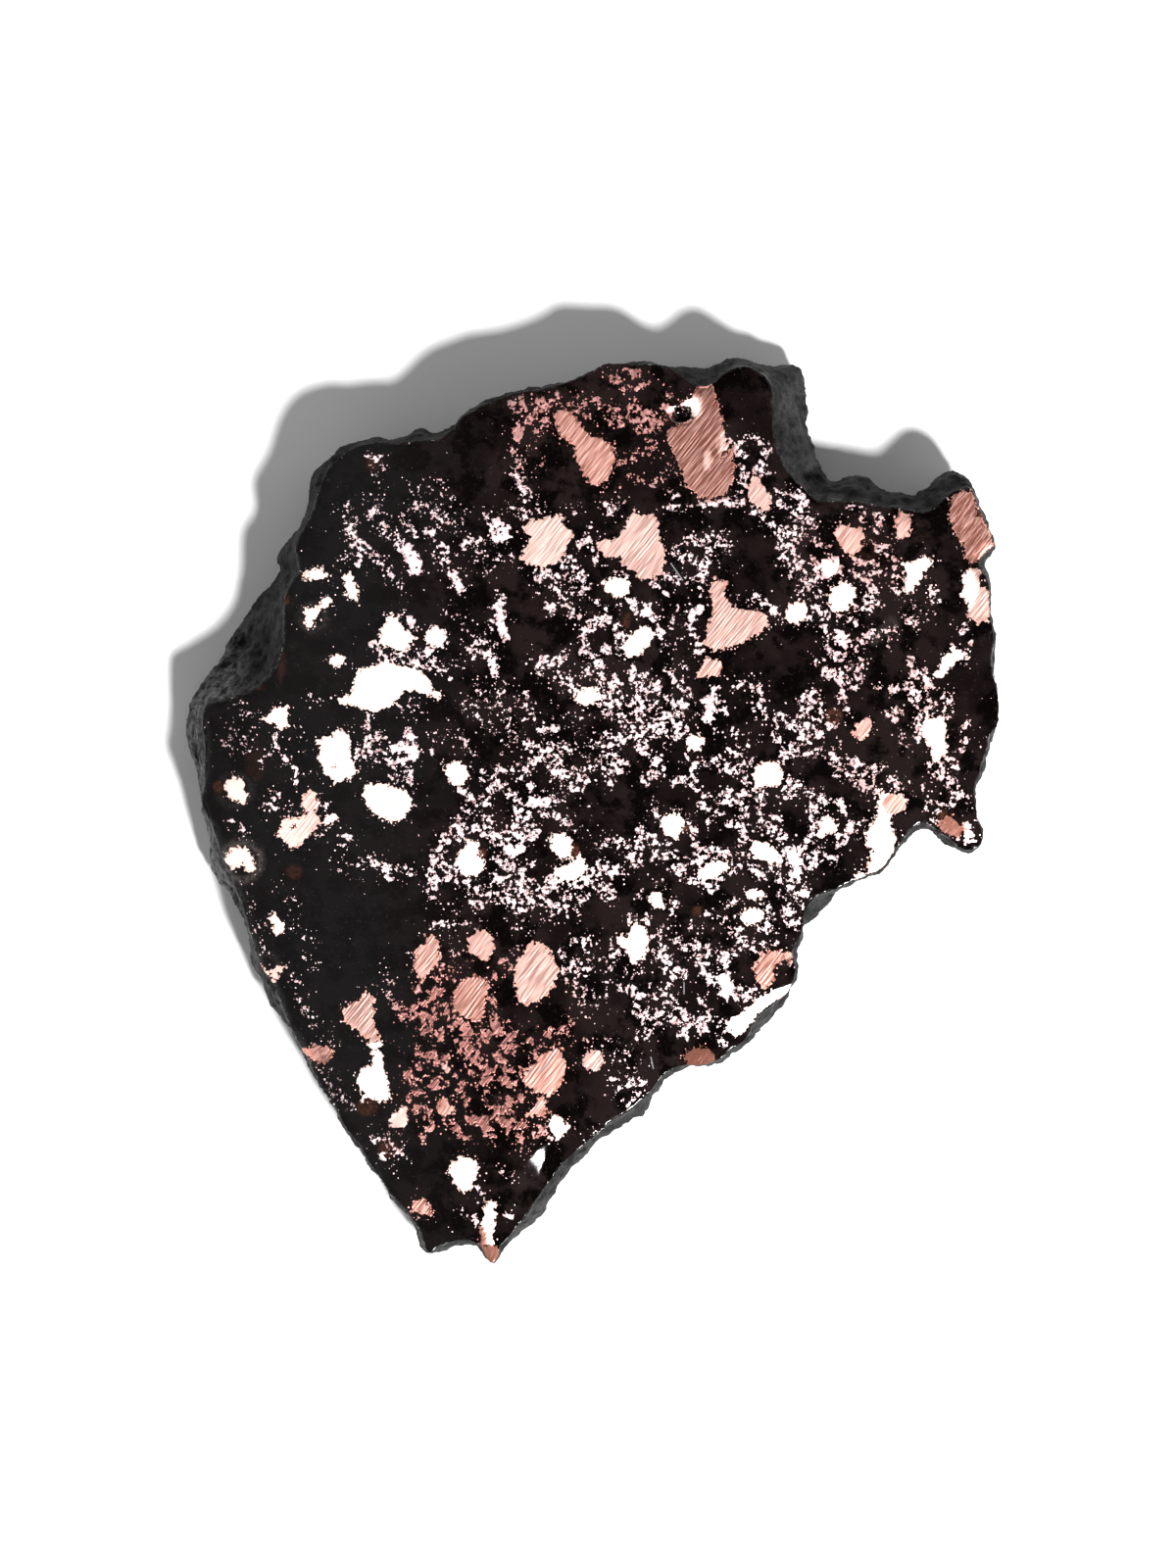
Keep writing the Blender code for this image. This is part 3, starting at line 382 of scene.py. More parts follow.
    (5, 667,955, 671,952), (6, 670,970, 678,968, 674,982, 684,980, 681,992), (5, 688,988, 698,993, 688,998),
    (6, 688,960, 695,965, 703,966), (6, 711,963, 714,975, 719,985, 717,993, 724,998),
    (6, 724,965, 730,970, 738,976, 743,975), (5, 735,982, 740,990),
    (7, 750,1010, 755,1018, 758,1012, 768,1013), (3, 724,1003, 728,1002), (5, 715,1023, 719,1028),
    (6, 722,1035, 715,1045, 710,1052), (5, 735,1045, 738,1052), (6, 767,965, 772,970, 780,965),
    (5, 790,962), (5, 812,962, 815,970), (6, 755,950, 757,958, 757,965), (4, 747,922, 750,918),
    (5, 739,938, 744,945, 750,953), (5, 780,925, 785,930, 787,935), (5, 780,943, 785,945, 778,950),
    (6, 798,912, 806,914, 812,917), (5, 800,925, 805,928, 800,933, 810,935, 815,940),
    (4, 632,1007, 640,1010), (5, 643,1008, 648,1016), (5, 653,1016, 663,1018, 674,1018, 678,1008),
    (5, 678,1020, 688,1023), (5, 648,1025, 650,1035, 660,1040, 667,1043), (5, 670,1033, 676,1033),
    (4, 685,1040, 690,1042), (5, 650,1057, 655,1050, 660,1055), (6, 697,1043, 703,1048, 698,1056, 710,1055),
    (5, 443,945, 450,943, 455,945), (6, 450,985, 455,990, 456,998, 448,1000),
    (6, 427,1009, 438,1014, 450,1012), (4, 462,1000, 466,998), (5, 515,983, 520,985, 523,988),
    (4, 503,992, 506,998), (7, 406,1029, 412,1035, 420,1038), (9, 428,1030, 436,1038, 432,1047),
    (7, 448,1030, 460,1033), (5, 458,1043, 450,1052, 444,1063), (7, 460,1043, 468,1045, 475,1048, 482,1048),
    (8, 468,1058, 474,1067, 484,1066, 483,1055), (6, 502,1018, 503,1032, 506,1045, 505,1053),
    (6, 493,1055, 497,1060), (7, 515,1053, 525,1058, 531,1062), (6, 520,1065, 510,1070, 508,1075),
    (8, 484,1080, 487,1092, 482,1092), (9, 493,1095, 503,1095, 512,1098), (6, 490,1108, 495,1110),
    (5, 508,1080, 514,1084), (5, 523,1090, 530,1092), (4, 543,1062, 549,1068, 547,1073),
    (4, 557,1053, 563,1060), (6, 575,1050, 572,1058, 578,1056), (3, 549,1045, 550,1050), (3, 520,1041),
    (5, 443,1108, 450,1105, 456,1105), (6, 424,1113, 430,1118, 427,1130, 432,1138),
    (5, 467,1115, 472,1122, 480,1132), (5, 495,1115, 497,1120), (6, 500,1125, 510,1132, 522,1138),
    (5, 512,1122, 520,1125), (4, 573,970, 575,978), (5, 588,962, 598,960), (6, 587,985, 592,993, 598,990),
    (4, 578,1000, 583,1003), (4, 590,1005), (6, 590,1017, 593,1023),
    (5, 813,802, 825,808, 835,812, 845,817), (6, 803,805, 800,812, 808,808), (5, 830,825, 832,836, 829,845),
    (4, 878,842, 881,840), (4, 855,853, 865,851, 875,853), (4, 861,859, 852,864),
    (6, 826,857, 823,868, 828,877, 838,873), (5, 843,875, 850,875, 853,878),
    (6, 948,822, 956,820, 953,830, 953,838), (5, 980,857, 983,860), (6, 950,782, 958,790, 968,795, 972,802),
    (4, 972,812, 978,815, 985,813, 988,818), (5, 867,790, 873,796, 882,805), (5, 893,800, 895,810),
    (5, 912,797, 915,802, 918,803), (5, 802,910, 808,915, 812,918), (5, 803,928, 806,940, 816,938, 815,948),
    (5, 810,970, 815,968), (6, 803,978, 810,980), (4, 805,905, 810,903, 812,898),
    (5, 278,808, 281,816, 273,822, 278,827), (3, 268,774, 275,771, 277,765), (3, 331,820, 332,828),
    (4, 354,863, 357,867), (7, 365,770, 373,770, 380,773), (5, 376,752, 386,750, 376,758),
    (5, 388,768, 396,773, 402,780), (4, 407,775, 411,778), (5, 402,793, 411,796, 418,788, 420,797),
    (4, 368,878, 378,877, 388,880), (4, 395,885, 408,889, 424,890), (3, 235,838, 240,842, 247,844, 246,851),
    (3, 317,711, 325,715), (3, 625,1100, 628,1112, 640,1108, 650,1103, 660,1108, 664,1118),
    (3, 633,1122, 640,1128, 650,1120, 648,1130), (3, 600,1165, 607,1157), (3, 549,1150, 565,1163),
    (6, 491,1150, 503,1158), (3, 530,1173, 538,1182), (3, 510,1196, 525,1201), (3, 488,1212, 495,1222),
    (4, 473,1237, 480,1243, 488,1249), (3, 515,1238, 522,1243), (6, 420,1120, 430,1128, 438,1140),
    (6, 455,1145, 465,1150, 475,1158), (6, 480,1140, 490,1145, 500,1140), (5, 510,1145, 525,1148, 540,1150),
    (5, 530,1120, 540,1115), (5, 520,1155, 530,1162), (5, 545,1160, 555,1152), (4, 440,1150, 432,1160),
    (4, 380,1160, 395,1165, 405,1172, 415,1178), (4, 390,1180, 402,1185), (4, 690,1030, 700,1035, 710,1040),
    (4, 722,1050, 735,1058, 740,1065), (4, 813,917, 820,925, 825,935, 818,945),
    (3, 440,893, 455,897, 470,902), (4, 750,700, 760,697, 770,705), (4, 755,760, 765,756),
    (4, 470,1070, 478,1080), (5, 440,1075, 448,1085, 455,1078), (4, 425,1070, 432,1080, 428,1090),
    (4, 415,1095, 420,1103, 432,1100), (4, 505,1100, 515,1108, 525,1105), (4, 465,1100, 470,1108, 462,1115),
    (2, 374,464, 381,470, 389,465), (2, 379,479, 386,486), (2, 384,472, 391,477), (3, 486,700, 492,706),
    (3, 510,705, 516,712), (3, 530,712, 536,708), (6, 905,560, 912,575, 920,590), (5, 912,598, 918,606),
    (4, 1011,760, 1009,770), (5, 948,600, 955,612),
]
SPARSE = [
    (8, 440,500, 460,515, 470,525), (10, 425,495, 445,500), (6, 374,510, 392,508),
    (6, 430,548, 455,540, 465,535), (5, 520,568, 530,576), (6, 460,620, 465,628, 475,640, 482,645),
    (5, 466,676, 471,677), (4, 543,449, 541,456, 548,462, 550,473), (6, 545,512, 552,518),
    (4, 596,414, 602,427, 609,430), (6, 680,480, 690,482, 685,470), (4, 622,498, 630,497, 634,510),
    (6, 550,600, 555,608), (5, 662,688, 670,690), (6, 730,575, 740,578, 745,580),
    (5, 748,612, 760,615, 768,618), (4, 856,720, 860,725, 862,730), (5, 935,803, 945,800, 950,798),
    (6, 445,750, 460,745, 473,752), (6, 517,770, 525,775), (12, 590,760, 590,780, 603,765),
    (5, 608,855, 610,863), (5, 588,845, 593,848), (5, 653,912, 657,910, 675,905), (5, 703,945, 712,945),
    (5, 675,945, 685,945), (5, 463,962, 467,965, 462,975, 470,982, 477,984), (5, 852,822, 857,835),
    (4, 935,805, 948,800), (6, 232,745, 242,748, 245,755, 230,762), (4, 287,824, 295,823, 308,828),
    (8, 235,905, 250,925, 262,945), (6, 258,960, 268,975), (6, 240,770, 250,760, 258,750),
    (6, 285,905, 295,920, 300,940), (5, 310,960, 318,985), (6, 300,1000, 310,1020, 318,1040),
    (6, 330,1050, 338,1065), (6, 335,1095, 345,1115, 355,1128), (5, 400,1150, 410,1160),
    (8, 600,1060, 625,1070, 650,1080), (8, 640,1095, 655,1110), (8, 560,1060, 580,1040),
    (6, 520,940, 540,945, 560,940), (8, 700,620, 690,640, 682,660), (8, 850,760, 840,745),
    (8, 930,760, 920,745), (8, 560,730, 580,735, 600,735), (8, 500,720, 520,730, 540,728),
    (6, 360,560, 350,575, 342,590), (8, 470,560, 490,565, 500,580), (8, 640,560, 630,600),
    (8, 740,470, 750,500), (8, 600,960, 610,990, 612,1020), (8, 640,990, 660,1000), (8, 740,930, 760,925),
    (6, 520,1070, 535,1060), (8, 395,700, 430,730), (8, 460,930, 480,940), (8, 390,1000, 400,1015),
    (6, 345,880, 365,890), (6, 300,740, 310,760), (8, 590,1000, 600,1030), (9, 905,590, 920,600, 935,590),
    (9, 930,620, 945,625), (10, 500,700, 530,715, 550,735), (10, 480,720, 510,745, 540,750),
]

# How far from solid copper each kind of stroke is at its middle, in millimetres before it frays
STROKE_KINDS = [(DENSE, 0.45), (LACE, 0.14), (SPARSE, -0.08)]

# Stretches of lace that are pinker than the rest, partly painted shade where the light's reflection misses
# them:
# how pink, centre u and v, half width, half height
PINK_AND_SHADED_LACE = [(1.0, 490, 1080, 125, 125), (0.7, 620, 430, 130, 90), (0.3, 885, 560, 80, 50),
             (0.15, 920, 720, 110, 130)]

# Parts of nuggets in another tone: the tone, centre u and v, half width, half height. The three brightest
# patches on the large north nugget are painted highlights along its streaks; the two at the tip are brown
# tarnish.
TONE_AND_HIGHLIGHT_PATCHES = [
    (0.0, 706, 415, 12, 16), (0.3, 738, 452, 7, 16), (0.35, 722, 470, 5, 12), (0.9, 800, 976, 12, 8),
    (0.0, 981, 600, 20, 32), (0.8, 913, 821, 15, 13), (0.9, 892, 886, 11, 12),
    (1.95, 503, 1288, 12, 10), (1.85, 491, 1264, 5, 13),
]

# Dark holes in the copper: centre u and v, half width, half height, turn in degrees
HOLES = [
    (695, 423, 12, 8, 20), (491, 871, 4, 4, 0), (586, 868, 3, 8, -20), (740, 463, 2, 5, -30),
    (512, 556, 3, 3, 0), (700, 846, 3, 3, 0), (960, 831, 4, 4, 0), (1001, 519, 4, 9, -20),
    (300, 845, 3, 3, 0), (341, 783, 2, 2, 0),
]

# Stains and a painted reflection: how strong, centre u and v, half width, half height, share of the middle
# left clear. Rust is above nought and a pale halo below it, and the three pale patches at 893 to 909 in u are
# a painted reflection of the light on the lacquer.
STAINS_AND_REFLECTIONS = [
    (-1.5, 246, 879, 25, 24, 0.85), (-0.35, 239, 806, 22, 20, 0.85), (-0.4, 272, 985, 15, 15, 0.8),
    (0.6, 222, 803, 6, 8, 0.0), (0.12, 260, 780, 12, 22, 0.0), (-0.4, 320, 630, 18, 18, 0.7),
    # These three pale patches are a painted reflection, a haze of light on the lacquer.
    (-0.5, 893, 652, 8, 7, 0.0), (-0.5, 901, 644, 8, 7, 0.0), (-0.4, 909, 636, 8, 7, 0.0),
    (1.0, 288, 611, 8, 7, 0.0), (0.3, 287, 678, 4, 20, 0.0), (0.3, 266, 702, 6, 3, 0.0),
    (1.0, 491, 871, 5, 5, 0.0), (1.0, 586, 869, 5, 9, 0.0), (0.9, 300, 845, 5, 5, 0.0),
    (0.9, 740, 463, 4, 6, 0.0), (0.9, 700, 846, 5, 4, 0.0), (0.7, 711, 929, 5, 5, 0.0),
    (1.0, 960, 831, 6, 5, 0.0), (0.9, 1002, 520, 5, 10, 0.0), (0.6, 602, 710, 6, 9, 0.0),
    (0.5, 375, 1130, 12, 9, 0.0), (0.5, 396, 1172, 11, 9, 0.0), (0.35, 300, 890, 9, 8, 0.0),
    (0.4, 382, 472, 9, 9, 0.0), (0.7, 640, 633, 4, 8, 0.0), (0.9, 851, 731, 9, 9, 0.5),
    (0.9, 658, 1138, 9, 7, 0.0), (0.7, 845, 928, 14, 16, 0.0), (0.6, 682, 424, 5, 9, 0.0),
    (0.2, 885, 560, 14, 14, 0.5),
]

# Single scratches, from u and v to u and v
SCRATCHES = [
    (684, 574, 698, 594), (551, 1096, 568, 1069), (537, 1097, 546, 1085), (698, 1002, 698, 1017),
    (664, 1078, 667, 1092), (540, 1135, 553, 1124),
]

# Depths and distances in the drawing, in millimetres. FARTHEST is the depth in copper far away from it.
# Points out of a scratch's reach keep SCRATCH_FAR, so large that no false scratch shows beside them.
FARTHEST = -3.0
SCRATCH_REACH = 0.7
SCRATCH_FAR = 30.0
ON_A_NUGGET = -0.3
OFF_THE_NUGGETS = (0.1, 0.5)

# Where the drawing's ovals start to fade and where they end, as shares of their reach
PATCH_FADE = (0.6, 1.0)
STRETCH_FADE = (0.6, 1.1)
STAIN_AND_REFLECTION_FADE = (0.7, 1.1)
RING_FADE = 0.3


def smooth_step(low, high, value):
    """A smooth rise from 0 at low to 1 at high."""
    share = np.clip((value - low) / (high - low), 0.0, 1.0)
    return share * share * (3 - 2 * share)


def pairs(numbers, unit=1.0):
    """A flat run of numbers as points."""
    return np.array(numbers, float).reshape(-1, 2) * unit


def closed_curve(points, per_span):
    """A closed Catmull-Rom curve through the points."""
    before, after = np.roll(points, 1, axis=0), np.roll(points, -1, axis=0)
    beyond = np.roll(points, -2, axis=0)
    rows = []
    for t in np.arange(per_span) / per_span:
        rows.append(0.5 * (
            2 * points
            + (after - before) * t
            + (2 * before - 5 * points + 4 * after - beyond) * t * t
            + (3 * points - before - 3 * after + beyond) * t**3
        ))
    return np.stack(rows, axis=1).reshape(-1, 2)


def evened(values, passes):
    """A closed run of rows after each has moved to the middle of its neighbours, passes times."""
    for _ in range(passes):
        values = (np.roll(values, 1, axis=0) + 2 * values + np.roll(values, -1, axis=0)) / 4
    return values


class Rim:
    """The polished face's outline on the sheet, and how points lie to it."""

    def __init__(self):
        self.line = closed_curve(pairs(RIM), RIM_POINTS_PER_SPAN)
        along = np.roll(self.line, -1, axis=0) - np.roll(self.line, 1, axis=0)
        outward = np.column_stack([along[:, 1], -along[:, 0]])
        self.outward = outward / np.linalg.norm(outward, axis=1)[:, None]
        facing = evened(self.outward, FACING_PASSES)
        self.facing = facing / np.linalg.norm(facing, axis=1)[:, None]
        self.tree = KDTree(len(self.line))
        for index, (u, v) in enumerate(self.line):
            self.tree.insert((u, v, 0.0), index)
        self.tree.balance()

    def nearest(self, sheet):
        """Places in the line of the rim points nearest to each point."""
        return np.array([self.tree.find((u, v, 0.0))[1] for u, v in sheet])

    def depth(self, sheet, nearest):
        """How far inside the rim each point lies, negative outside."""
        gap = self.line[nearest] - sheet
        side = np.sign(np.einsum("ij,ij->i", gap, self.outward[nearest]))
        return np.linalg.norm(gap, axis=1) * np.where(side == 0, 1, side)


def west_fall(sheet):
    """How far the strip west of the crease lies below the polished plane."""
    u, v = sheet.T
    crease_u, crease_v = np.array(WEST_CREASE).T
    beyond = np.maximum(np.interp(v, crease_v, crease_u) - u, 0.0)
    soft = np.hypot(beyond, CREASE_SOFTNESS) - CREASE_SOFTNESS
    ends = np.minimum(crease_v[-1] - v, v - crease_v[0])
    return np.minimum(WEST_SLOPE * soft, WEST_MOST) * smooth_step(0.0, CREASE_ENDS, ends)


def facet_fall(sheet):
    """How far the small facets at the east side take the polished face down."""
    fall = np.zeros(len(sheet))
    for u, v, reach, (right, up), slope in FACETS:
        offset = (sheet - (u, v)) / reach
        along = (offset @ (right, -up) - FACET_START) * reach
        fade = 1 - smooth_step(*FACET_FADE, np.linalg.norm(offset, axis=1))
        fall = np.maximum(fall, slope * np.maximum(along, 0.0) * fade)
    return fall


def vesicle_fall(sheet):
    """The depth of the gas bubble that the grinding opened."""
    u, v, half_width, half_height, depth, floor = VESICLE
    reach = np.hypot((sheet[:, 0] - u) / half_width, (sheet[:, 1] - v) / half_height)
    return depth * (1 - smooth_step(floor, 1.0, reach))


def glint_fall(sheet):
    """How far the bevels that mirror the key light take the polished face down."""
    across = np.array([GLINT_SIDE[1], -GLINT_SIDE[0]])
    fall = np.zeros(len(sheet))
    for slope, bevel in GLINTS:
        starts = np.array(sorted(bevel, key=lambda row: np.dot(row[:2], across)))
        along, beyond = starts[:, :2] @ across, starts[:, :2] @ GLINT_SIDE
        gap = sheet @ GLINT_SIDE - np.interp(sheet @ across, along, beyond)
        width = np.interp(sheet @ across, along, starts[:, 2])
        fall += slope * np.clip(gap, 0.0, width)
    return fall


def polished_height(sheet, depth, facing):
    """Height of the polished face, in millimetres above the underside."""
    softness = smooth_step(SOFT_FROM, SOFT_FULL, facing @ (SOFT_SIDE * (1, -1)))
    softness = softness * smooth_step(*SOFT_EAST_OF, sheet[:, 0]) * smooth_step(*SOFT_BELOW, sheet[:, 1])
    (sharp_width, sharp_fall), (soft_width, soft_fall) = SHARP_ROLL, SOFT_ROLL
    width = sharp_width + (soft_width - sharp_width) * softness
    fall = sharp_fall + (soft_fall - sharp_fall) * softness
    roll = fall * np.maximum(0.0, 1 - np.abs(depth) / width) ** 2
    return THICKNESS - roll - west_fall(sheet) - facet_fall(sheet) - glint_fall(sheet) - vesicle_fall(sheet)


def line_distance(points, line):
    """Distance of each point from an open line of straight stretches."""
    if len(line) == 1:
        return np.linalg.norm(points - line[0], axis=1)
    nearest = np.full(len(points), np.inf)
    for start, end in zip(line, line[1:]):
        along = end - start
        share = np.clip((points - start) @ along / max(along @ along, 1e-9), 0.0, 1.0)
        gap = np.linalg.norm(points - start - share[:, None] * along, axis=1)
        nearest = np.minimum(nearest, gap)
    return nearest


def outline_depth(points, outline):
    """How far inside a closed outline each point lies, negative outside."""
    u, v = points.T
    inside = np.zeros(len(points), bool)
    for (u0, v0), (u1, v1) in zip(outline, np.roll(outline, -1, axis=0)):
        if v0 != v1:
            crosses = (v0 > v) != (v1 > v)
            inside ^= crosses & (u < u0 + (v - v0) / (v1 - v0) * (u1 - u0))
    distance = line_distance(points, np.vstack([outline, outline[:1]]))
    return np.where(inside, distance, -distance)


def near(points, shape, margin):
    """Which points lie within a margin of the box round a shape."""
    low, high = shape.min(0) - margin, shape.max(0) + margin
    return np.flatnonzero(np.all((points > low) & (points < high), axis=1))


class CopperDrawing:
    """How deep in copper each point of the sheet lies, in millimetres, and how pink it is, partly painted
    shade.
    """

    def __init__(self, points):
        self.points = points
        self.nugget = np.full(len(points), FARTHEST)
        self.lace = np.full(len(points), FARTHEST)
        self.tone = np.zeros(len(points))
        self.stain_and_reflection = np.zeros(len(points))
        self.scratch = np.full(len(points), SCRATCH_FAR)
        for tone, *outline in NUGGETS:
            self.add_nugget(tone, pairs(outline, TENTH))
        for tone, u, v, half_width, half_height, turn in GRAINS:
            self.add_nugget(tone, oval(u, v, half_width, half_height, turn))
        for u, v, half_width, half_height, turn in HOLES:
            depth = outline_depth(points, oval(u, v, half_width, half_height, turn))
            self.nugget = np.minimum(self.nugget, -depth)
        for ends in SCRATCHES:
            self.add_scratch(*pairs(ends, TENTH))
        # Tone patches change the tone of the nuggets under them; some are painted highlights.
        for tone, *oval_place in TONE_AND_HIGHLIGHT_PATCHES:
            share = (1 - smooth_step(*PATCH_FADE, self.reach(*oval_place))) * (self.nugget > ON_A_NUGGET)
            self.tone += (tone - self.tone) * share
        for strength, u, v, half_width, half_height, clear in STAINS_AND_REFLECTIONS:
            reach = self.reach(u, v, half_width, half_height)
            ring = smooth_step(clear - RING_FADE, clear, reach) if clear else 1.0
            stain_and_reflection = strength * ring * (1 - smooth_step(*STAIN_AND_REFLECTION_FADE, reach))
            self.stain_and_reflection = np.where(np.abs(stain_and_reflection) > np.abs(self.stain_and_reflection), stain_and_reflection, self.stain_and_reflection)
        for strokes, most in STROKE_KINDS:
            for half_width, *route in strokes:
                self.add_stroke(half_width * TENTH, pairs(route, TENTH), most)
        self.shade_lace()

    def add_nugget(self, tone, outline):
        chosen = near(self.points, outline, -FARTHEST)
        depth = outline_depth(self.points[chosen], outline)
        deeper = depth > self.nugget[chosen]
        self.nugget[chosen[deeper]] = depth[deeper]
        self.tone[chosen[deeper]] = tone

    def add_scratch(self, start, end):
        """Keeps how far to one side of the scratch each point beside it lies."""
        length = np.linalg.norm(end - start)
        along = (end - start) / length
        offset = self.points - start
        place, side = offset @ along, offset @ (along[1], -along[0])
        beside = (place > 0) & (place < length) & (np.abs(side) < SCRATCH_REACH)
        self.scratch[beside] = side[beside]

    def add_stroke(self, half_width, route, most):
        chosen = near(self.points, route, half_width - FARTHEST)
        depth = np.minimum(half_width - line_distance(self.points[chosen], route), most)
        self.lace[chosen] = np.maximum(self.lace[chosen], depth)

    def reach(self, u, v, half_width, half_height):
        """Distance from the middle of an oval, 1 on its border."""
        offset = self.points / TENTH - (u, v)
        return np.linalg.norm(offset / (half_width, half_height), axis=1)

    def shade_lace(self):
        """Away from the nuggets the lace takes the tone of its stretch, partly painted shade."""
        stretch = np.zeros(len(self.points))
        for tone, u, v, half_width, half_height in PINK_AND_SHADED_LACE:
            reach = self.reach(u, v, half_width, half_height)
            stretch = np.maximum(stretch, tone * (1 - smooth_step(*STRETCH_FADE, reach)))
        away = smooth_step(*OFF_THE_NUGGETS, -self.nugget)
        self.tone += (stretch - self.tone) * away


def oval(u, v, half_width, half_height, turn, count=14):
    """The outline of an oval grain. Its turn is anticlockwise as seen from above."""
    angles = np.arange(count) / count * 2 * math.pi
    across, down = half_width * np.cos(angles), half_height * np.sin(angles)
    c, s = math.cos(math.radians(turn)), math.sin(math.radians(turn))
    return np.column_stack([u + across * c + down * s, v - across * s + down * c]) * TENTH


class Wire:
    """A shader socket in a Python expression: an operator on it adds the Math node."""

    def __init__(self, paint, socket):
        self.paint = paint
        self.socket = socket

    def maths(self, operation, first, second=0.0):
        return self.paint.node("ShaderNodeMath", {"operation": operation}, {0: first, 1: second})

    def __add__(self, other):
        return self.maths("ADD", self, other)

    __radd__ = __add__

    def __sub__(self, other):
        return self.maths("SUBTRACT", self, other)

    def __rsub__(self, other):
        return self.maths("SUBTRACT", other, self)

    def __mul__(self, other):
        return self.maths("MULTIPLY", self, other)

    __rmul__ = __mul__

    def __abs__(self):
        return self.maths("ABSOLUTE", self)

    def highest(self, other):
        return self.maths("MAXIMUM", self, other)

    def lowest(self, other):
        return self.maths("MINIMUM", self, other)


class Paint:
    """A material's nodes, added by name."""

    def __init__(self, owner):
        owner.use_nodes = True
        self.tree = owner.node_tree
        self.tree.nodes.clear()

    def node(self, kind, settings=None, values=None, output=0):
        """Adds a node, sets it up, fills its sockets with values or wires, and gives one output."""
        made = self.tree.nodes.new(kind)
        for name, value in (settings or {}).items():
            setattr(made, name, value)
        for name, value in (values or {}).items():
            self.fill(made.inputs[name], value)
        return Wire(self, made.outputs[output]) if made.outputs else made

    def fill(self, socket, value):
        if isinstance(value, Wire):
            self.tree.links.new(value.socket, socket)
        elif socket.type == "RGBA" and len(value) == 3:
            socket.default_value = (*value, 1.0)
        else:
            socket.default_value = value

    def attribute(self, name):
        return self.node("ShaderNodeAttribute", {"attribute_name": name}, output="Fac")

    def millimetres(self):
        """The place on the stone, in millimetres."""
        place = self.node("ShaderNodeTexCoord", output="Object")
        return self.node("ShaderNodeVectorMath", {"operation": "SCALE"}, {0: place, "Scale": 1 / MM})

    def stretched(self, vector, turn, scale):
        """Places turned about the vertical, then scaled along each axis."""
        turned = self.node("ShaderNodeMapping", None, {"Vector": vector, "Rotation": (0.0, 0.0, turn)})
        return self.node("ShaderNodeVectorMath", {"operation": "MULTIPLY"}, {0: turned, 1: scale})

    def noise(self, vector, scale, detail=2.0, roughness=0.5):
        return self.node("ShaderNodeTexNoise", None, {
            "Vector": vector, "Scale": scale, "Detail": detail, "Roughness": roughness}, "Fac")

    def cells(self, vector, scale, output="Distance", feature="F1"):
        return self.node(
            "ShaderNodeTexVoronoi", {"feature": feature}, {"Vector": vector, "Scale": scale}, output)

    def step(self, low, high, value, to_low=0.0, to_high=1.0):
        """A smooth step of a value from low to high, or down from it where high is the lower one."""
        return self.node("ShaderNodeMapRange", {"interpolation_type": "SMOOTHSTEP"}, {
            "Value": value, "From Min": low, "From Max": high, "To Min": to_low, "To Max": to_high})

    def blend(self, factor, first, second, kind="MIX"):
        """A colour between two colours, or the first one tinted by the second."""
        settings = {"data_type": "RGBA", "blend_type": kind}
        return self.node("ShaderNodeMix", settings, {0: factor, 6: first, 7: second}, 2)

    def between(self, factor, first, second):
        """A number between two numbers."""
        return self.node("ShaderNodeMix", {"data_type": "FLOAT"}, {0: factor, 2: first, 3: second})


class CopperOreSizes(bpy.types.PropertyGroup):
    """Sizes of the stone's finest forms."""

    face_size: FloatProperty(
        name="Face size", description="Size of the stone's faces", default=0.305 * MM, unit="LENGTH")
    rind_relief: FloatProperty(
        name="Rind relief", description="Height of the broken rind's finest lumps", default=0.24 * MM,
        unit="LENGTH")
    scratch_pitch: FloatProperty(
        name="Scratch pitch", description="Distance between the polishing scratches", default=0.30 * MM,
        unit="LENGTH")
    scratch_turn: FloatProperty(
        name="Scratch direction", description="Direction that the polishing scratches run in",
        default=math.radians(52), subtype="ANGLE")


def colour(name, description, default):
    """A colour that the user can change."""
    return FloatVectorProperty(name=name, description=description, subtype="COLOR", default=default)


class CopperOreColours(bpy.types.PropertyGroup):
    """Colours of the copper and the basalt."""

    # Bright copper is also the painted sheen on the polishing streaks. The pink, dull and deep copper colours
    # are partly the copper's own tone and partly painted shade, where the light's reflection misses the
    # copper.
    copper_bright: colour("Bright copper", "Freshly polished native copper", (0.98, 0.78, 0.71))
    copper_dull: colour("Dull copper", "Native copper in the pinker nuggets", (0.93, 0.41, 0.32))
    copper_pink: colour("Pink copper", "Native copper in the rosy nuggets", (0.94, 0.54, 0.46))
    copper_deep: colour("Deep copper", "Native copper in the brownest nuggets", (0.88, 0.33, 0.245))
    copper_tarnished: colour("Tarnished copper", "Brown tarnish on copper at the rim", (0.13, 0.050, 0.034))
    basalt_warm: colour("Warm basalt", "The brown-black clasts under the lacquer", (0.0084, 0.0052, 0.0050))
    basalt_cool: colour("Cool basalt", "The grey-black ground under the lacquer", (0.0052, 0.0048, 0.0049))
    basalt_ground: colour("Basalt ground", "The black ground between the clasts", (0.0036, 0.0021, 0.0020))
    basalt_black: colour("Black basalt", "The darkest patches of the ground", (0.0006, 0.0003, 0.0002))
    rust: colour("Rust", "Brown stains and rusty spots", (0.050, 0.018, 0.011))
    # The halo colour is both the pale rings in the basalt and a painted reflection haze on the lacquer.
    halo: colour("Halo", "Pale rings and haze in the basalt", (0.036, 0.030, 0.028))
    rind: colour("Rind", "The broken, weathered edge", (0.0030, 0.0028, 0.0028))
    rind_pale: colour("Pale rind", "The lighter streaks of the broken edge", (0.018, 0.017, 0.017))
    # The pale west rind is painted light: it makes the west wall paler, for the light it catches.
    rind_dusty: colour("Dusty rind", "The paler rind on the west side", (0.120, 0.116, 0.117))


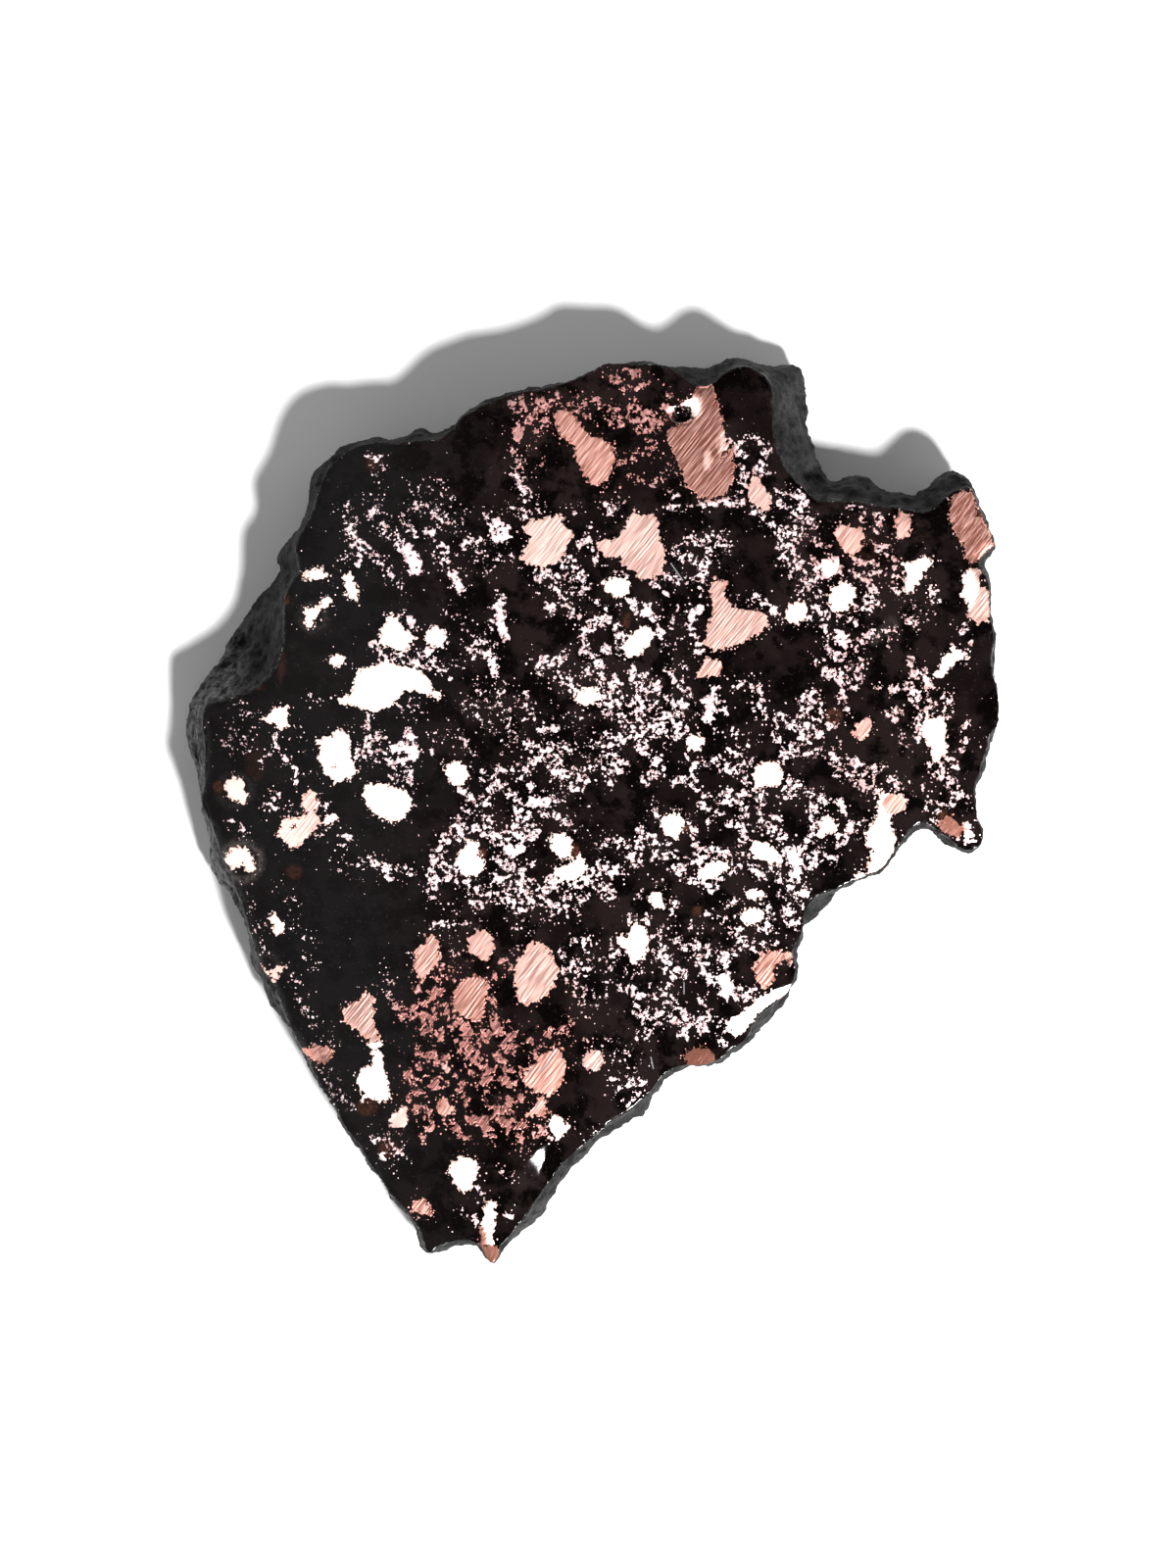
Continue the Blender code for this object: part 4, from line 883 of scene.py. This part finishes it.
class CopperOreStage(bpy.types.PropertyGroup):
    """The stage's light and distances."""

    key_power: FloatProperty(
        name="Key light", description="Power of the key light", default=66.0, unit="POWER")
    sky: FloatProperty(
        name="Sky", description="Brightness of the room near the horizon", default=1.9)
    camera_height: FloatProperty(
        name="Camera height", description="Height of the camera above the polished face", default=0.55,
        unit="LENGTH")


PIECE = "polished_copper_ore"

# Sizes in the making of the mesh, in millimetres
MERGED_WITHIN = 0.002
FLAT_BELOW = 0.02
SNAP = 0.16
WALL_BELOW = 0.3
DEEPEST_INSIDE = 5.0

# The rind's relief: the sizes of its lumps, pits and grains in millimetres, how much each adds to it, and the
# roughness, step and count of the noise's octaves. It fades out below the foot's height.
WALL_SMOOTHING = 3
LUMP_SIZE, LUMP_SHARE, LUMP_NOISE = 1.3, 1.1, (0.9, 2.1, 3)
PIT_SPACING, PIT_WIDTH, PIT_SHARE = 1.05, 0.42, 1.3
GRAIN_SIZE, GRAIN_SHARE, GRAIN_NOISE = 0.5, 0.45, (0.8, 2.0, 2)
FOOT_HEIGHT = 1.2

# What the drawing gives the material, beside the depth inside the rim
DRAWN = ("nugget", "lace", "tone", "stain_and_reflection", "scratch")

# What tells the one large face of the underside from the rest
DOWNWARDS = -0.99
UNDERSIDE_CORNERS = 50


def stand_alone(piece):
    """Selects one piece and nothing else."""
    bpy.ops.object.select_all(action="DESELECT")
    piece.select_set(True)
    bpy.context.view_layer.objects.active = piece


def fine_copy(face_size):
    """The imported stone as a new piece, its loose triangles merged and its faces made small and even."""
    piece = bpy.data.objects.new(PIECE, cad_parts[SLAB].data.copy())
    piece.data.materials.clear()
    bpy.context.scene.collection.objects.link(piece)
    stand_alone(piece)
    bpy.ops.object.mode_set(mode="EDIT")
    bpy.ops.mesh.select_all(action="SELECT")
    bpy.ops.mesh.remove_doubles(threshold=MERGED_WITHIN * MM)
    bpy.ops.object.mode_set(mode="OBJECT")
    remesh = piece.modifiers.new("even_faces", "REMESH")
    remesh.mode = "VOXEL"
    remesh.voxel_size = face_size
    bpy.ops.object.modifier_apply(modifier=remesh.name)
    return piece


def read_rows(owner, count, name):
    """A vector of each vertex as a row."""
    flat = np.empty(count * 3)
    owner.foreach_get(name, flat)
    return flat.reshape(-1, 3)


def read_places(mesh):
    return read_rows(mesh.vertices, len(mesh.vertices), "co")


def on_sheet(places):
    """Plan places on the tracing sheet, in millimetres."""
    return np.column_stack([places[:, 0] / MM + SHEET_CENTRE[0], SHEET_CENTRE[1] - places[:, 1] / MM])


def off_sheet(sheet, heights):
    return np.column_stack([
        (sheet[:, 0] - SHEET_CENTRE[0]) * MM, (SHEET_CENTRE[1] - sheet[:, 1]) * MM, heights * MM])


def lay_polished_face(piece, rim):
    """Sets the polished face exactly on its rule, with a clean edge along the rim. Tells its vertices."""
    places = read_places(piece.data)
    sheet = on_sheet(places)
    heights = places[:, 2] / MM
    nearest = rim.nearest(sheet)
    depth = rim.depth(sheet, nearest)
    tops = polished_height(sheet, depth, rim.facing[nearest])
    high = heights > tops - THICKNESS / 3
    edge = high & (np.abs(depth) < SNAP) & (heights > tops - 2 * SNAP)
    sheet[edge] = rim.line[nearest[edge]]
    depth[edge] = 0.0
    polished = (high & (depth > 0)) | edge
    tops = polished_height(sheet, depth, rim.facing[nearest])
    heights[polished] = tops[polished]
    places = off_sheet(sheet, heights)
    piece.data.vertices.foreach_set("co", places.ravel())
    return polished


def break_rind(piece, polished, relief):
    """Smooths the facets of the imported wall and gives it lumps, pits and grains."""
    heights = read_places(piece.data)[:, 2] / MM
    rind = np.flatnonzero(~polished & (heights > FLAT_BELOW))
    wall = piece.vertex_groups.new(name="wall")
    wall.add(rind.tolist(), 1.0, "REPLACE")
    smooth = piece.modifiers.new("smooth_wall", "SMOOTH")
    smooth.vertex_group = wall.name
    smooth.factor = 0.5
    smooth.iterations = WALL_SMOOTHING
    bpy.ops.object.modifier_apply(modifier=smooth.name)
    piece.vertex_groups.clear()

    places = read_places(piece.data)
    normals = read_rows(piece.data.vertex_normals, len(places), "vector")
    for index in rind:
        point = Vector(places[index] / MM)
        lump = noise.fractal(point / LUMP_SIZE, *LUMP_NOISE)
        pit = max(0.0, PIT_WIDTH - noise.voronoi(point / PIT_SPACING)[0][0]) / PIT_WIDTH
        grain = noise.fractal(point / GRAIN_SIZE, *GRAIN_NOISE)
        rise = LUMP_SHARE * lump - PIT_SHARE * pit * pit + GRAIN_SHARE * grain
        foot = min(1.0, heights[index] / FOOT_HEIGHT)
        places[index] += normals[index] * (min(rise, 1.0) * relief * foot)
    piece.data.vertices.foreach_set("co", places.ravel())


def clear_underside(piece):
    """Makes the sawn underside one flat face with a sharp border."""
    mesh = bmesh.new()
    mesh.from_mesh(piece.data)
    low = [v for v in mesh.verts if v.co.z < FLAT_BELOW * MM]
    for vertex in low:
        vertex.co.z = 0.0
    flat = [f for f in mesh.faces if all(v.co.z == 0.0 for v in f.verts)]
    bmesh.ops.dissolve_faces(mesh, faces=flat, use_verts=True)
    for face in mesh.faces:
        face.smooth = True
        if face.normal.z < DOWNWARDS and len(face.verts) > UNDERSIDE_CORNERS:
            face.smooth = False
            for edge in face.edges:
                edge.smooth = False
    mesh.to_mesh(piece.data)
    mesh.free()


def store(mesh, name, values):
    """Keeps a value at each vertex for the material to read."""
    attribute = mesh.attributes.new(name, "FLOAT", "POINT")
    attribute.data.foreach_set("value", np.asarray(values, np.float32))


def draw_copper(piece, rim):
    """Writes what the material reads: nuggets, lace, how pink they are with painted shade, and depth inside
    the rim.
    """
    places = read_places(piece.data)
    sheet = on_sheet(places)
    nearest = rim.nearest(sheet)
    depth = rim.depth(sheet, nearest)
    below = polished_height(sheet, depth, rim.facing[nearest]) - places[:, 2] / MM
    inside = np.where(below > WALL_BELOW, np.minimum(depth, 0.0) - below, depth)
    drawing = CopperDrawing(sheet)
    for name in DRAWN:
        store(piece.data, name, getattr(drawing, name))
    store(piece.data, "inside", np.clip(inside, -DEEPEST_INSIDE, DEEPEST_INSIDE))


# The patterns in the stone: how many to a millimetre, then the noise's detail and roughness
FRAY = (2.2, 3.0, 0.66)
CHUNKS = (0.9, 2.0, 0.5)
CLASTS = (0.11, 3.0, 0.6)
MURK = (0.35, 4.0, 0.62)
FLECKS = (3.2, 3.0, 0.7)
STAIN_AND_REFLECTION_MOTTLE = (2.4, 4.0, 0.7)
# The next pattern mottles the painted light on the west rind.
WEST_LIGHT_MOTTLE = (1.3, 4.0, 0.65)
RIND_STREAKS = (0.3, 5.0, 0.68)
RIND_GRAIN = (4.0, 3.0, 0.6)
RIND_KNOBS = (0.55, 4.0, 0.6)
SCRATCHES_ACROSS, SCRATCHES_ALONG = 1.8, 0.28
FACET_CELLS = 3.6
VEIN_CELLS = 2.6

# How the copper's edges break up, in millimetres. Pink lace frays less and hangs together in larger chunks.
NUGGET_FRAY = 1.7
LACE_THINNING, PINK_GAIN = 0.18, 0.03
LACE_FRAY, PINK_FRAY_LOSS = 1.9, 0.5
LACE_CHUNKS, PINK_CHUNKS = 0.9, 0.6
VEIN_DEPTH = 0.14

# Copper specks and dust in the ground: cells to a millimetre, the value from which a cell has one, the widest
# one in cells, how much they shrink away from the copper, and how deep in copper they count as
SPECKS = (2.0, 0.55, 0.26, 0.12, 0.5)
DUST = (4.0, 0.6, 0.38, 0.3, 0.25)

# Between which tones the copper turns from bright to each pinker colour, the pinker ones partly painted shade
COPPER_TONES_AND_SHADES = [(0.0, 0.5, "copper_pink"), (0.5, 0.85, "copper_dull"), (0.85, 1.0, "copper_deep")]

# Between these places the looks change, in millimetres east or north of the slab's centre
WARM_GROUND = (-24.0, -8.0)
DULL_COPPER = (-26.0, -33.0)
# Where the painted light on the west rind sets in
WEST_LIGHT_RIND = (-34.0, -38.5)
SHINY_COPPER = (5.0, -30.0)

# How rough the finishes are, and the heights in them in millimetres
BRIGHT_ROUGHNESS, PINK_ROUGHNESS = 0.58, 0.42
BASALT_ROUGHNESS, RIND_ROUGHNESS = 0.12, 0.64
GRAIN_HEIGHT, KNOB_HEIGHT, SCRATCH_HEIGHT = 0.10, 0.6, 0.035

# Colours that aren't in the panel: flecks in the basalt, single scratches, and what tints the lace
FLECK = (0.03, 0.025, 0.023)
SCRATCH_LIGHT = (0.85, 0.87, 0.88)
LACE_TINT = (0.91, 0.98, 1.12)


class OreFinish:
    """Native copper and basalt under one clear lacquer, and the bare rind, with the masks that they share."""

    def __init__(self, sizes, colours):
        self.material = bpy.data.materials.new("lacquered_copper_ore")
        self.shades = {name: tuple(getattr(colours, name)) for name in colours.__annotations__}
        self.paint = paint = Paint(self.material)
        self.place = paint.millimetres()
        self.east = paint.node("ShaderNodeSeparateXYZ", None, {0: self.place}, "X")
        self.north = paint.node("ShaderNodeSeparateXYZ", None, {0: self.place}, "Y")
        self.inside = paint.attribute("inside")
        self.tone = paint.attribute("tone")
        self.fray = self.pattern(FRAY) - 0.5
        self.polished = paint.step(-0.25, 0.05, self.inside + self.fray * 0.5)
        self.solid = paint.step(0.5, 1.0, self.tone)
        self.tarnish = paint.step(1.0, 2.0, self.tone)
        self.scratches = self.polishing_scratches(sizes.scratch_pitch / MM, sizes.scratch_turn)
        self.streaks = paint.step(0.45, 0.58, self.scratches)
        self.nuggets, self.deepest = self.copper_depths()
        self.copper = paint.step(-0.02, 0.02, self.deepest) * self.polished
        self.in_lace = paint.step(0.05, -0.10, self.nuggets)
        self.mottled_tone_and_shade = self.mottle()

    def pattern(self, noise_settings):
        return self.paint.noise(self.place, *noise_settings)

    def polishing_scratches(self, pitch, turn):
        """The fine parallel scratches of the polish."""
        across = SCRATCHES_ACROSS / pitch
        along = self.paint.stretched(self.place, -turn, (SCRATCHES_ALONG, across, across))
        return self.paint.noise(along, 1.0, 2.0, 0.6)

    def copper_depths(self):
        """How deep in a nugget and in any copper a place is, in millimetres, with frayed edges."""
        paint = self.paint
        nugget, stroke = paint.attribute("nugget"), paint.attribute("lace")
        chunks = self.pattern(CHUNKS) - 0.5
        veins = paint.step(0.05, 0.0, paint.cells(self.place, VEIN_CELLS, feature="DISTANCE_TO_EDGE"))
        nuggets = nugget + self.fray * NUGGET_FRAY
        lace = (stroke - LACE_THINNING + self.solid * PINK_GAIN
                + self.fray * (LACE_FRAY - self.solid * PINK_FRAY_LOSS)
                + chunks * (LACE_CHUNKS + self.solid * PINK_CHUNKS) - veins * VEIN_DEPTH)
        lace = lace - paint.step(0.5, 0.1, self.inside)
        away = 1 - paint.step(-1.6, -0.2, stroke.highest(nugget))
        deepest = nuggets.highest(lace)
        for cells, least, widest, shrinking, depth in (SPECKS, DUST):
            width = paint.step(least, 1.0, paint.cells(self.place, cells, "Color"), 0.0, widest)
            speck = width - paint.cells(self.place, cells) - away * shrinking
            deepest = deepest.highest(speck * depth)
        return nuggets, deepest

    def mottle(self):
        """How pink the copper is, partly painted shade, with the facets of the lace and its thin edges."""
        facets = (self.paint.cells(self.place, FACET_CELLS, "Color") - 0.4) * (0.6 - self.solid * 0.4)
        thin = self.paint.step(0.20, 0.02, self.deepest)
        return (self.tone + facets * self.in_lace + thin * 0.25).lowest(1.0).highest(0.0)

    def copper_colour(self):
        """Bright to deep pink copper by tone and painted shade, painted sheen on its streaks, tarnished at
        the rim.
        """
        paint, shades, tone = self.paint, self.shades, self.mottled_tone_and_shade
        metal = shades["copper_bright"]
        for low, high, name in COPPER_TONES_AND_SHADES:
            metal = paint.blend(paint.step(low, high, tone), metal, shades[name])
        # Painted sheen: the polishing streaks are lightened towards bright copper as if they caught the
        # light.
        metal = paint.blend(self.streaks * (0.36 - self.in_lace * 0.26), metal, shades["copper_bright"])
        metal = paint.blend(self.tarnish, metal, shades["copper_tarnished"])
        return paint.blend(self.in_lace, metal, LACE_TINT, "MULTIPLY")

    def copper_roughness(self):
        """Pink copper is smoother than bright copper, and the south shines most."""
        paint, tone = self.paint, self.mottled_tone_and_shade
        return (paint.step(0.5, 0.0, tone, PINK_ROUGHNESS, BRIGHT_ROUGHNESS)
                - paint.step(0.8, 1.0, tone, 0.0, 0.08)
                - paint.step(*SHINY_COPPER, self.north) * 0.04
                - self.tarnish * 0.10
                + (self.streaks - 0.5) * 0.09
                + paint.step(*DULL_COPPER, self.east, 0.0, 0.15))

    def basalt_colour(self):
        """Clasts, murk, flecks and stains in the ground, and a painted reflection haze on the lacquer."""
        paint, shades, east = self.paint, self.shades, self.east
        rock = paint.blend(paint.step(*WARM_GROUND, east), shades["basalt_cool"], shades["basalt_ground"])
        clasts = paint.step(0.42, 0.6, self.pattern(CLASTS)) * paint.step(*WARM_GROUND, east, 0.15, 1.0)
        rock = paint.blend(clasts, rock, shades["basalt_warm"])
        murk = paint.step(0.54, 0.42, self.pattern(MURK)) * paint.step(*WARM_GROUND, east, 0.3, 0.95)
        rock = paint.blend(murk, rock, shades["basalt_black"])
        flecks = paint.step(0.60, 0.72, self.pattern(FLECKS))
        rock = paint.blend(flecks * 0.35, rock, FLECK)
        stain_and_reflection = paint.attribute("stain_and_reflection") * paint.step(0.38, 0.56, self.pattern(STAIN_AND_REFLECTION_MOTTLE), 0.15, 1.0)
        rock = paint.blend(stain_and_reflection.highest(0.0), rock, shades["rust"])
        # Below nought the basalt turns pale: real halos, and a painted reflection haze.
        return paint.blend((stain_and_reflection * -1.0).highest(0.0), rock, shades["halo"])

    def rind_colour(self):
        """Dark rock with pale streaks, and painted light that makes the west side paler."""
        paint, shades = self.paint, self.shades
        pale = paint.step(0.46, 0.66, self.pattern(RIND_STREAKS))
        rind = paint.blend(pale, shades["rind"], shades["rind_pale"])
        # Painted light: the rind is paler on the west side near the rim.
        dusty = (paint.step(*WEST_LIGHT_RIND, self.east, 0.10, 1.0) * paint.step(-0.2, -2.8, self.inside)
                 * paint.step(0.36, 0.66, self.pattern(WEST_LIGHT_MOTTLE)))
        return paint.blend(dusty, rind, shades["rind_dusty"])

    def base_colour(self):
        """The colours of copper, basalt and rind, each in its place, and the light single scratches."""
        paint = self.paint
        stone = paint.blend(self.polished, self.rind_colour(), self.basalt_colour())
        base = paint.blend(self.copper, stone, self.copper_colour())
        scratched = paint.step(0.08, 0.03, abs(paint.attribute("scratch")))
        return paint.blend(scratched * paint.between(self.copper, 0.2, 0.9), base, SCRATCH_LIGHT)

    def roughness(self):
        stone = self.paint.step(-1.6, 0.2, self.inside, RIND_ROUGHNESS, BASALT_ROUGHNESS)
        return self.paint.between(self.copper, stone, self.copper_roughness())

    def relief(self):
        """The finest relief: polishing scratches in the copper, grains and knobs on the rind."""
        rind = self.pattern(RIND_GRAIN) * GRAIN_HEIGHT + self.pattern(RIND_KNOBS) * KNOB_HEIGHT
        height = self.paint.between(self.copper, rind * (1 - self.polished), self.scratches * SCRATCH_HEIGHT)
        return self.paint.node("ShaderNodeBump", None, {"Strength": 1.0, "Distance": MM, "Height": height})

    def finished(self):
        """The material, with all its nodes joined up."""
        shader = self.paint.node("ShaderNodeBsdfPrincipled", None, {
            "Base Color": self.base_colour(),
            "Roughness": self.roughness(),
            "Metallic": self.copper * (1 - self.tarnish * 0.85),
            "Normal": self.relief(),
            "Coat Weight": self.paint.step(-0.2, 1.1, self.inside + self.fray * 0.5, 0.03, 1.0),
            "Coat Roughness": 0.08,
            "Coat IOR": 1.5,
            "Specular IOR Level": 0.08,
        })
        self.paint.node("ShaderNodeOutputMaterial", None, {"Surface": shader})
        return self.material


class COPPER_ORE_OT_stone(bpy.types.Operator):
    """Makes the polished stone in fine faces, draws its copper and gives it its finish"""

    bl_idname = "copper_ore.stone"
    bl_label = "Polished stone"

    def execute(self, context):
        sizes = context.scene.copper_ore_sizes
        rim = Rim()
        piece = fine_copy(sizes.face_size)
        polished = lay_polished_face(piece, rim)
        break_rind(piece, polished, sizes.rind_relief)
        clear_underside(piece)
        draw_copper(piece, rim)
        piece.data.materials.append(OreFinish(sizes, context.scene.copper_ore_colours).finished())
        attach(piece, "root")
        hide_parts(SLAB)
        return {"FINISHED"}


# The stage, in metres. The view's centre is a point of the tracing sheet, in millimetres.
VIEW_CENTRE = (60.0, 80.0)
VIEW_HEIGHT = 0.160
SENSOR = 36.0
KEY_DIRECTION = Vector((0.416, -0.559, 0.717))
KEY_DISTANCE = 1.5
KEY_WIDTH = 0.25
FLOOR_WIDTH = 6.0
FLOOR_GREYS = ((0.80, 0.80, 0.80), (0.84, 0.84, 0.84))

# The upward parts of a direction where the room starts to be pale and is pale, and its strength overhead
ROOM_TURNS = (0.66, 0.42)
OVERHEAD = 0.03


def add_area(name, direction, distance, width, power):
    """A round area light that shines on the slab."""
    data = bpy.data.lights.new(name, "AREA")
    data.shape = "DISK"
    data.size = width
    data.energy = power
    light = bpy.data.objects.new(name, data)
    light.location = direction.normalized() * distance
    light.rotation_euler = direction.to_track_quat("Z", "Y").to_euler()
    bpy.context.scene.collection.objects.link(light)


def add_floor():
    """The white floor, burnt out by the key light but for the slab's shadow."""
    bpy.ops.object.select_all(action="DESELECT")
    bpy.ops.mesh.primitive_plane_add(size=FLOOR_WIDTH, location=(0.0, 0.0, 0.0))
    floor = bpy.context.object
    floor.name = "floor"
    material = bpy.data.materials.new("white_floor")
    paint = Paint(material)
    place = paint.node("ShaderNodeTexCoord", output="Object")
    mottle = paint.noise(place, 40.0, 3.0, 0.5)
    shade = paint.blend(mottle, *FLOOR_GREYS)
    shader = paint.node("ShaderNodeBsdfPrincipled", None, {
        "Base Color": shade, "Roughness": 0.9, "Specular IOR Level": 0.1})
    paint.node("ShaderNodeOutputMaterial", None, {"Surface": shader})
    floor.data.materials.append(material)


def add_room(sky):
    """A room that is dark overhead, so that the lacquer stays black, and pale towards the horizon."""
    world = bpy.data.worlds.new("room")
    bpy.context.scene.world = world
    paint = Paint(world)
    direction = paint.node("ShaderNodeTexCoord", output="Generated")
    height = paint.node("ShaderNodeSeparateXYZ", None, {0: direction}, "Z")
    strength = paint.step(*ROOM_TURNS, height, OVERHEAD, sky)
    background = paint.node("ShaderNodeBackground", None, {"Strength": strength})
    paint.node("ShaderNodeOutputWorld", None, {"Surface": background})


class COPPER_ORE_OT_stage(bpy.types.Operator):
    """Lays the white floor, lights it and sets the camera straight above the slab"""

    bl_idname = "copper_ore.stage"
    bl_label = "Stage"

    def execute(self, context):
        stage = context.scene.copper_ore_stage
        add_floor()
        add_room(stage.sky)
        add_area("key", KEY_DIRECTION, KEY_DISTANCE, KEY_WIDTH, stage.key_power)
        data = bpy.data.cameras.new("camera")
        data.sensor_width = SENSOR
        data.lens = SENSOR * stage.camera_height / VIEW_HEIGHT
        camera = bpy.data.objects.new("camera", data)
        centre = off_sheet(np.array([VIEW_CENTRE]), np.array([THICKNESS]))[0]
        camera.location = Vector(centre) + Vector((0.0, 0.0, stage.camera_height))
        context.scene.collection.objects.link(camera)
        context.scene.camera = camera
        context.scene.view_settings.view_transform = "Standard"
        return {"FINISHED"}


class COPPER_ORE_PT_panel(bpy.types.Panel):
    """Lists the pieces and their settings"""

    bl_label = "Copper ore"
    bl_idname = "COPPER_ORE_PT_panel"
    bl_space_type = "VIEW_3D"
    bl_region_type = "UI"
    bl_category = "Copper ore"

    def draw(self, context):
        for group_name in GROUPS:
            group = getattr(context.scene, group_name)
            box = self.layout.box()
            for name in group.__annotations__:
                box.prop(group, name)
        for operator in OPERATORS:
            self.layout.operator(operator.bl_idname)


OPERATORS = (COPPER_ORE_OT_stone, COPPER_ORE_OT_stage)
GROUPS = {
    "copper_ore_sizes": CopperOreSizes,
    "copper_ore_colours": CopperOreColours,
    "copper_ore_stage": CopperOreStage,
}


def register():
    for group in GROUPS.values():
        bpy.utils.register_class(group)
    for name, group in GROUPS.items():
        setattr(bpy.types.Scene, name, PointerProperty(type=group))
    for cls in (*OPERATORS, COPPER_ORE_PT_panel):
        bpy.utils.register_class(cls)


def unregister():
    for cls in (COPPER_ORE_PT_panel, *reversed(OPERATORS)):
        bpy.utils.unregister_class(cls)
    for name, group in GROUPS.items():
        delattr(bpy.types.Scene, name)
        bpy.utils.unregister_class(group)


def main():
    register()
    bpy.ops.copper_ore.stone()
    bpy.ops.copper_ore.stage()


if __name__ == "__main__":
    main()
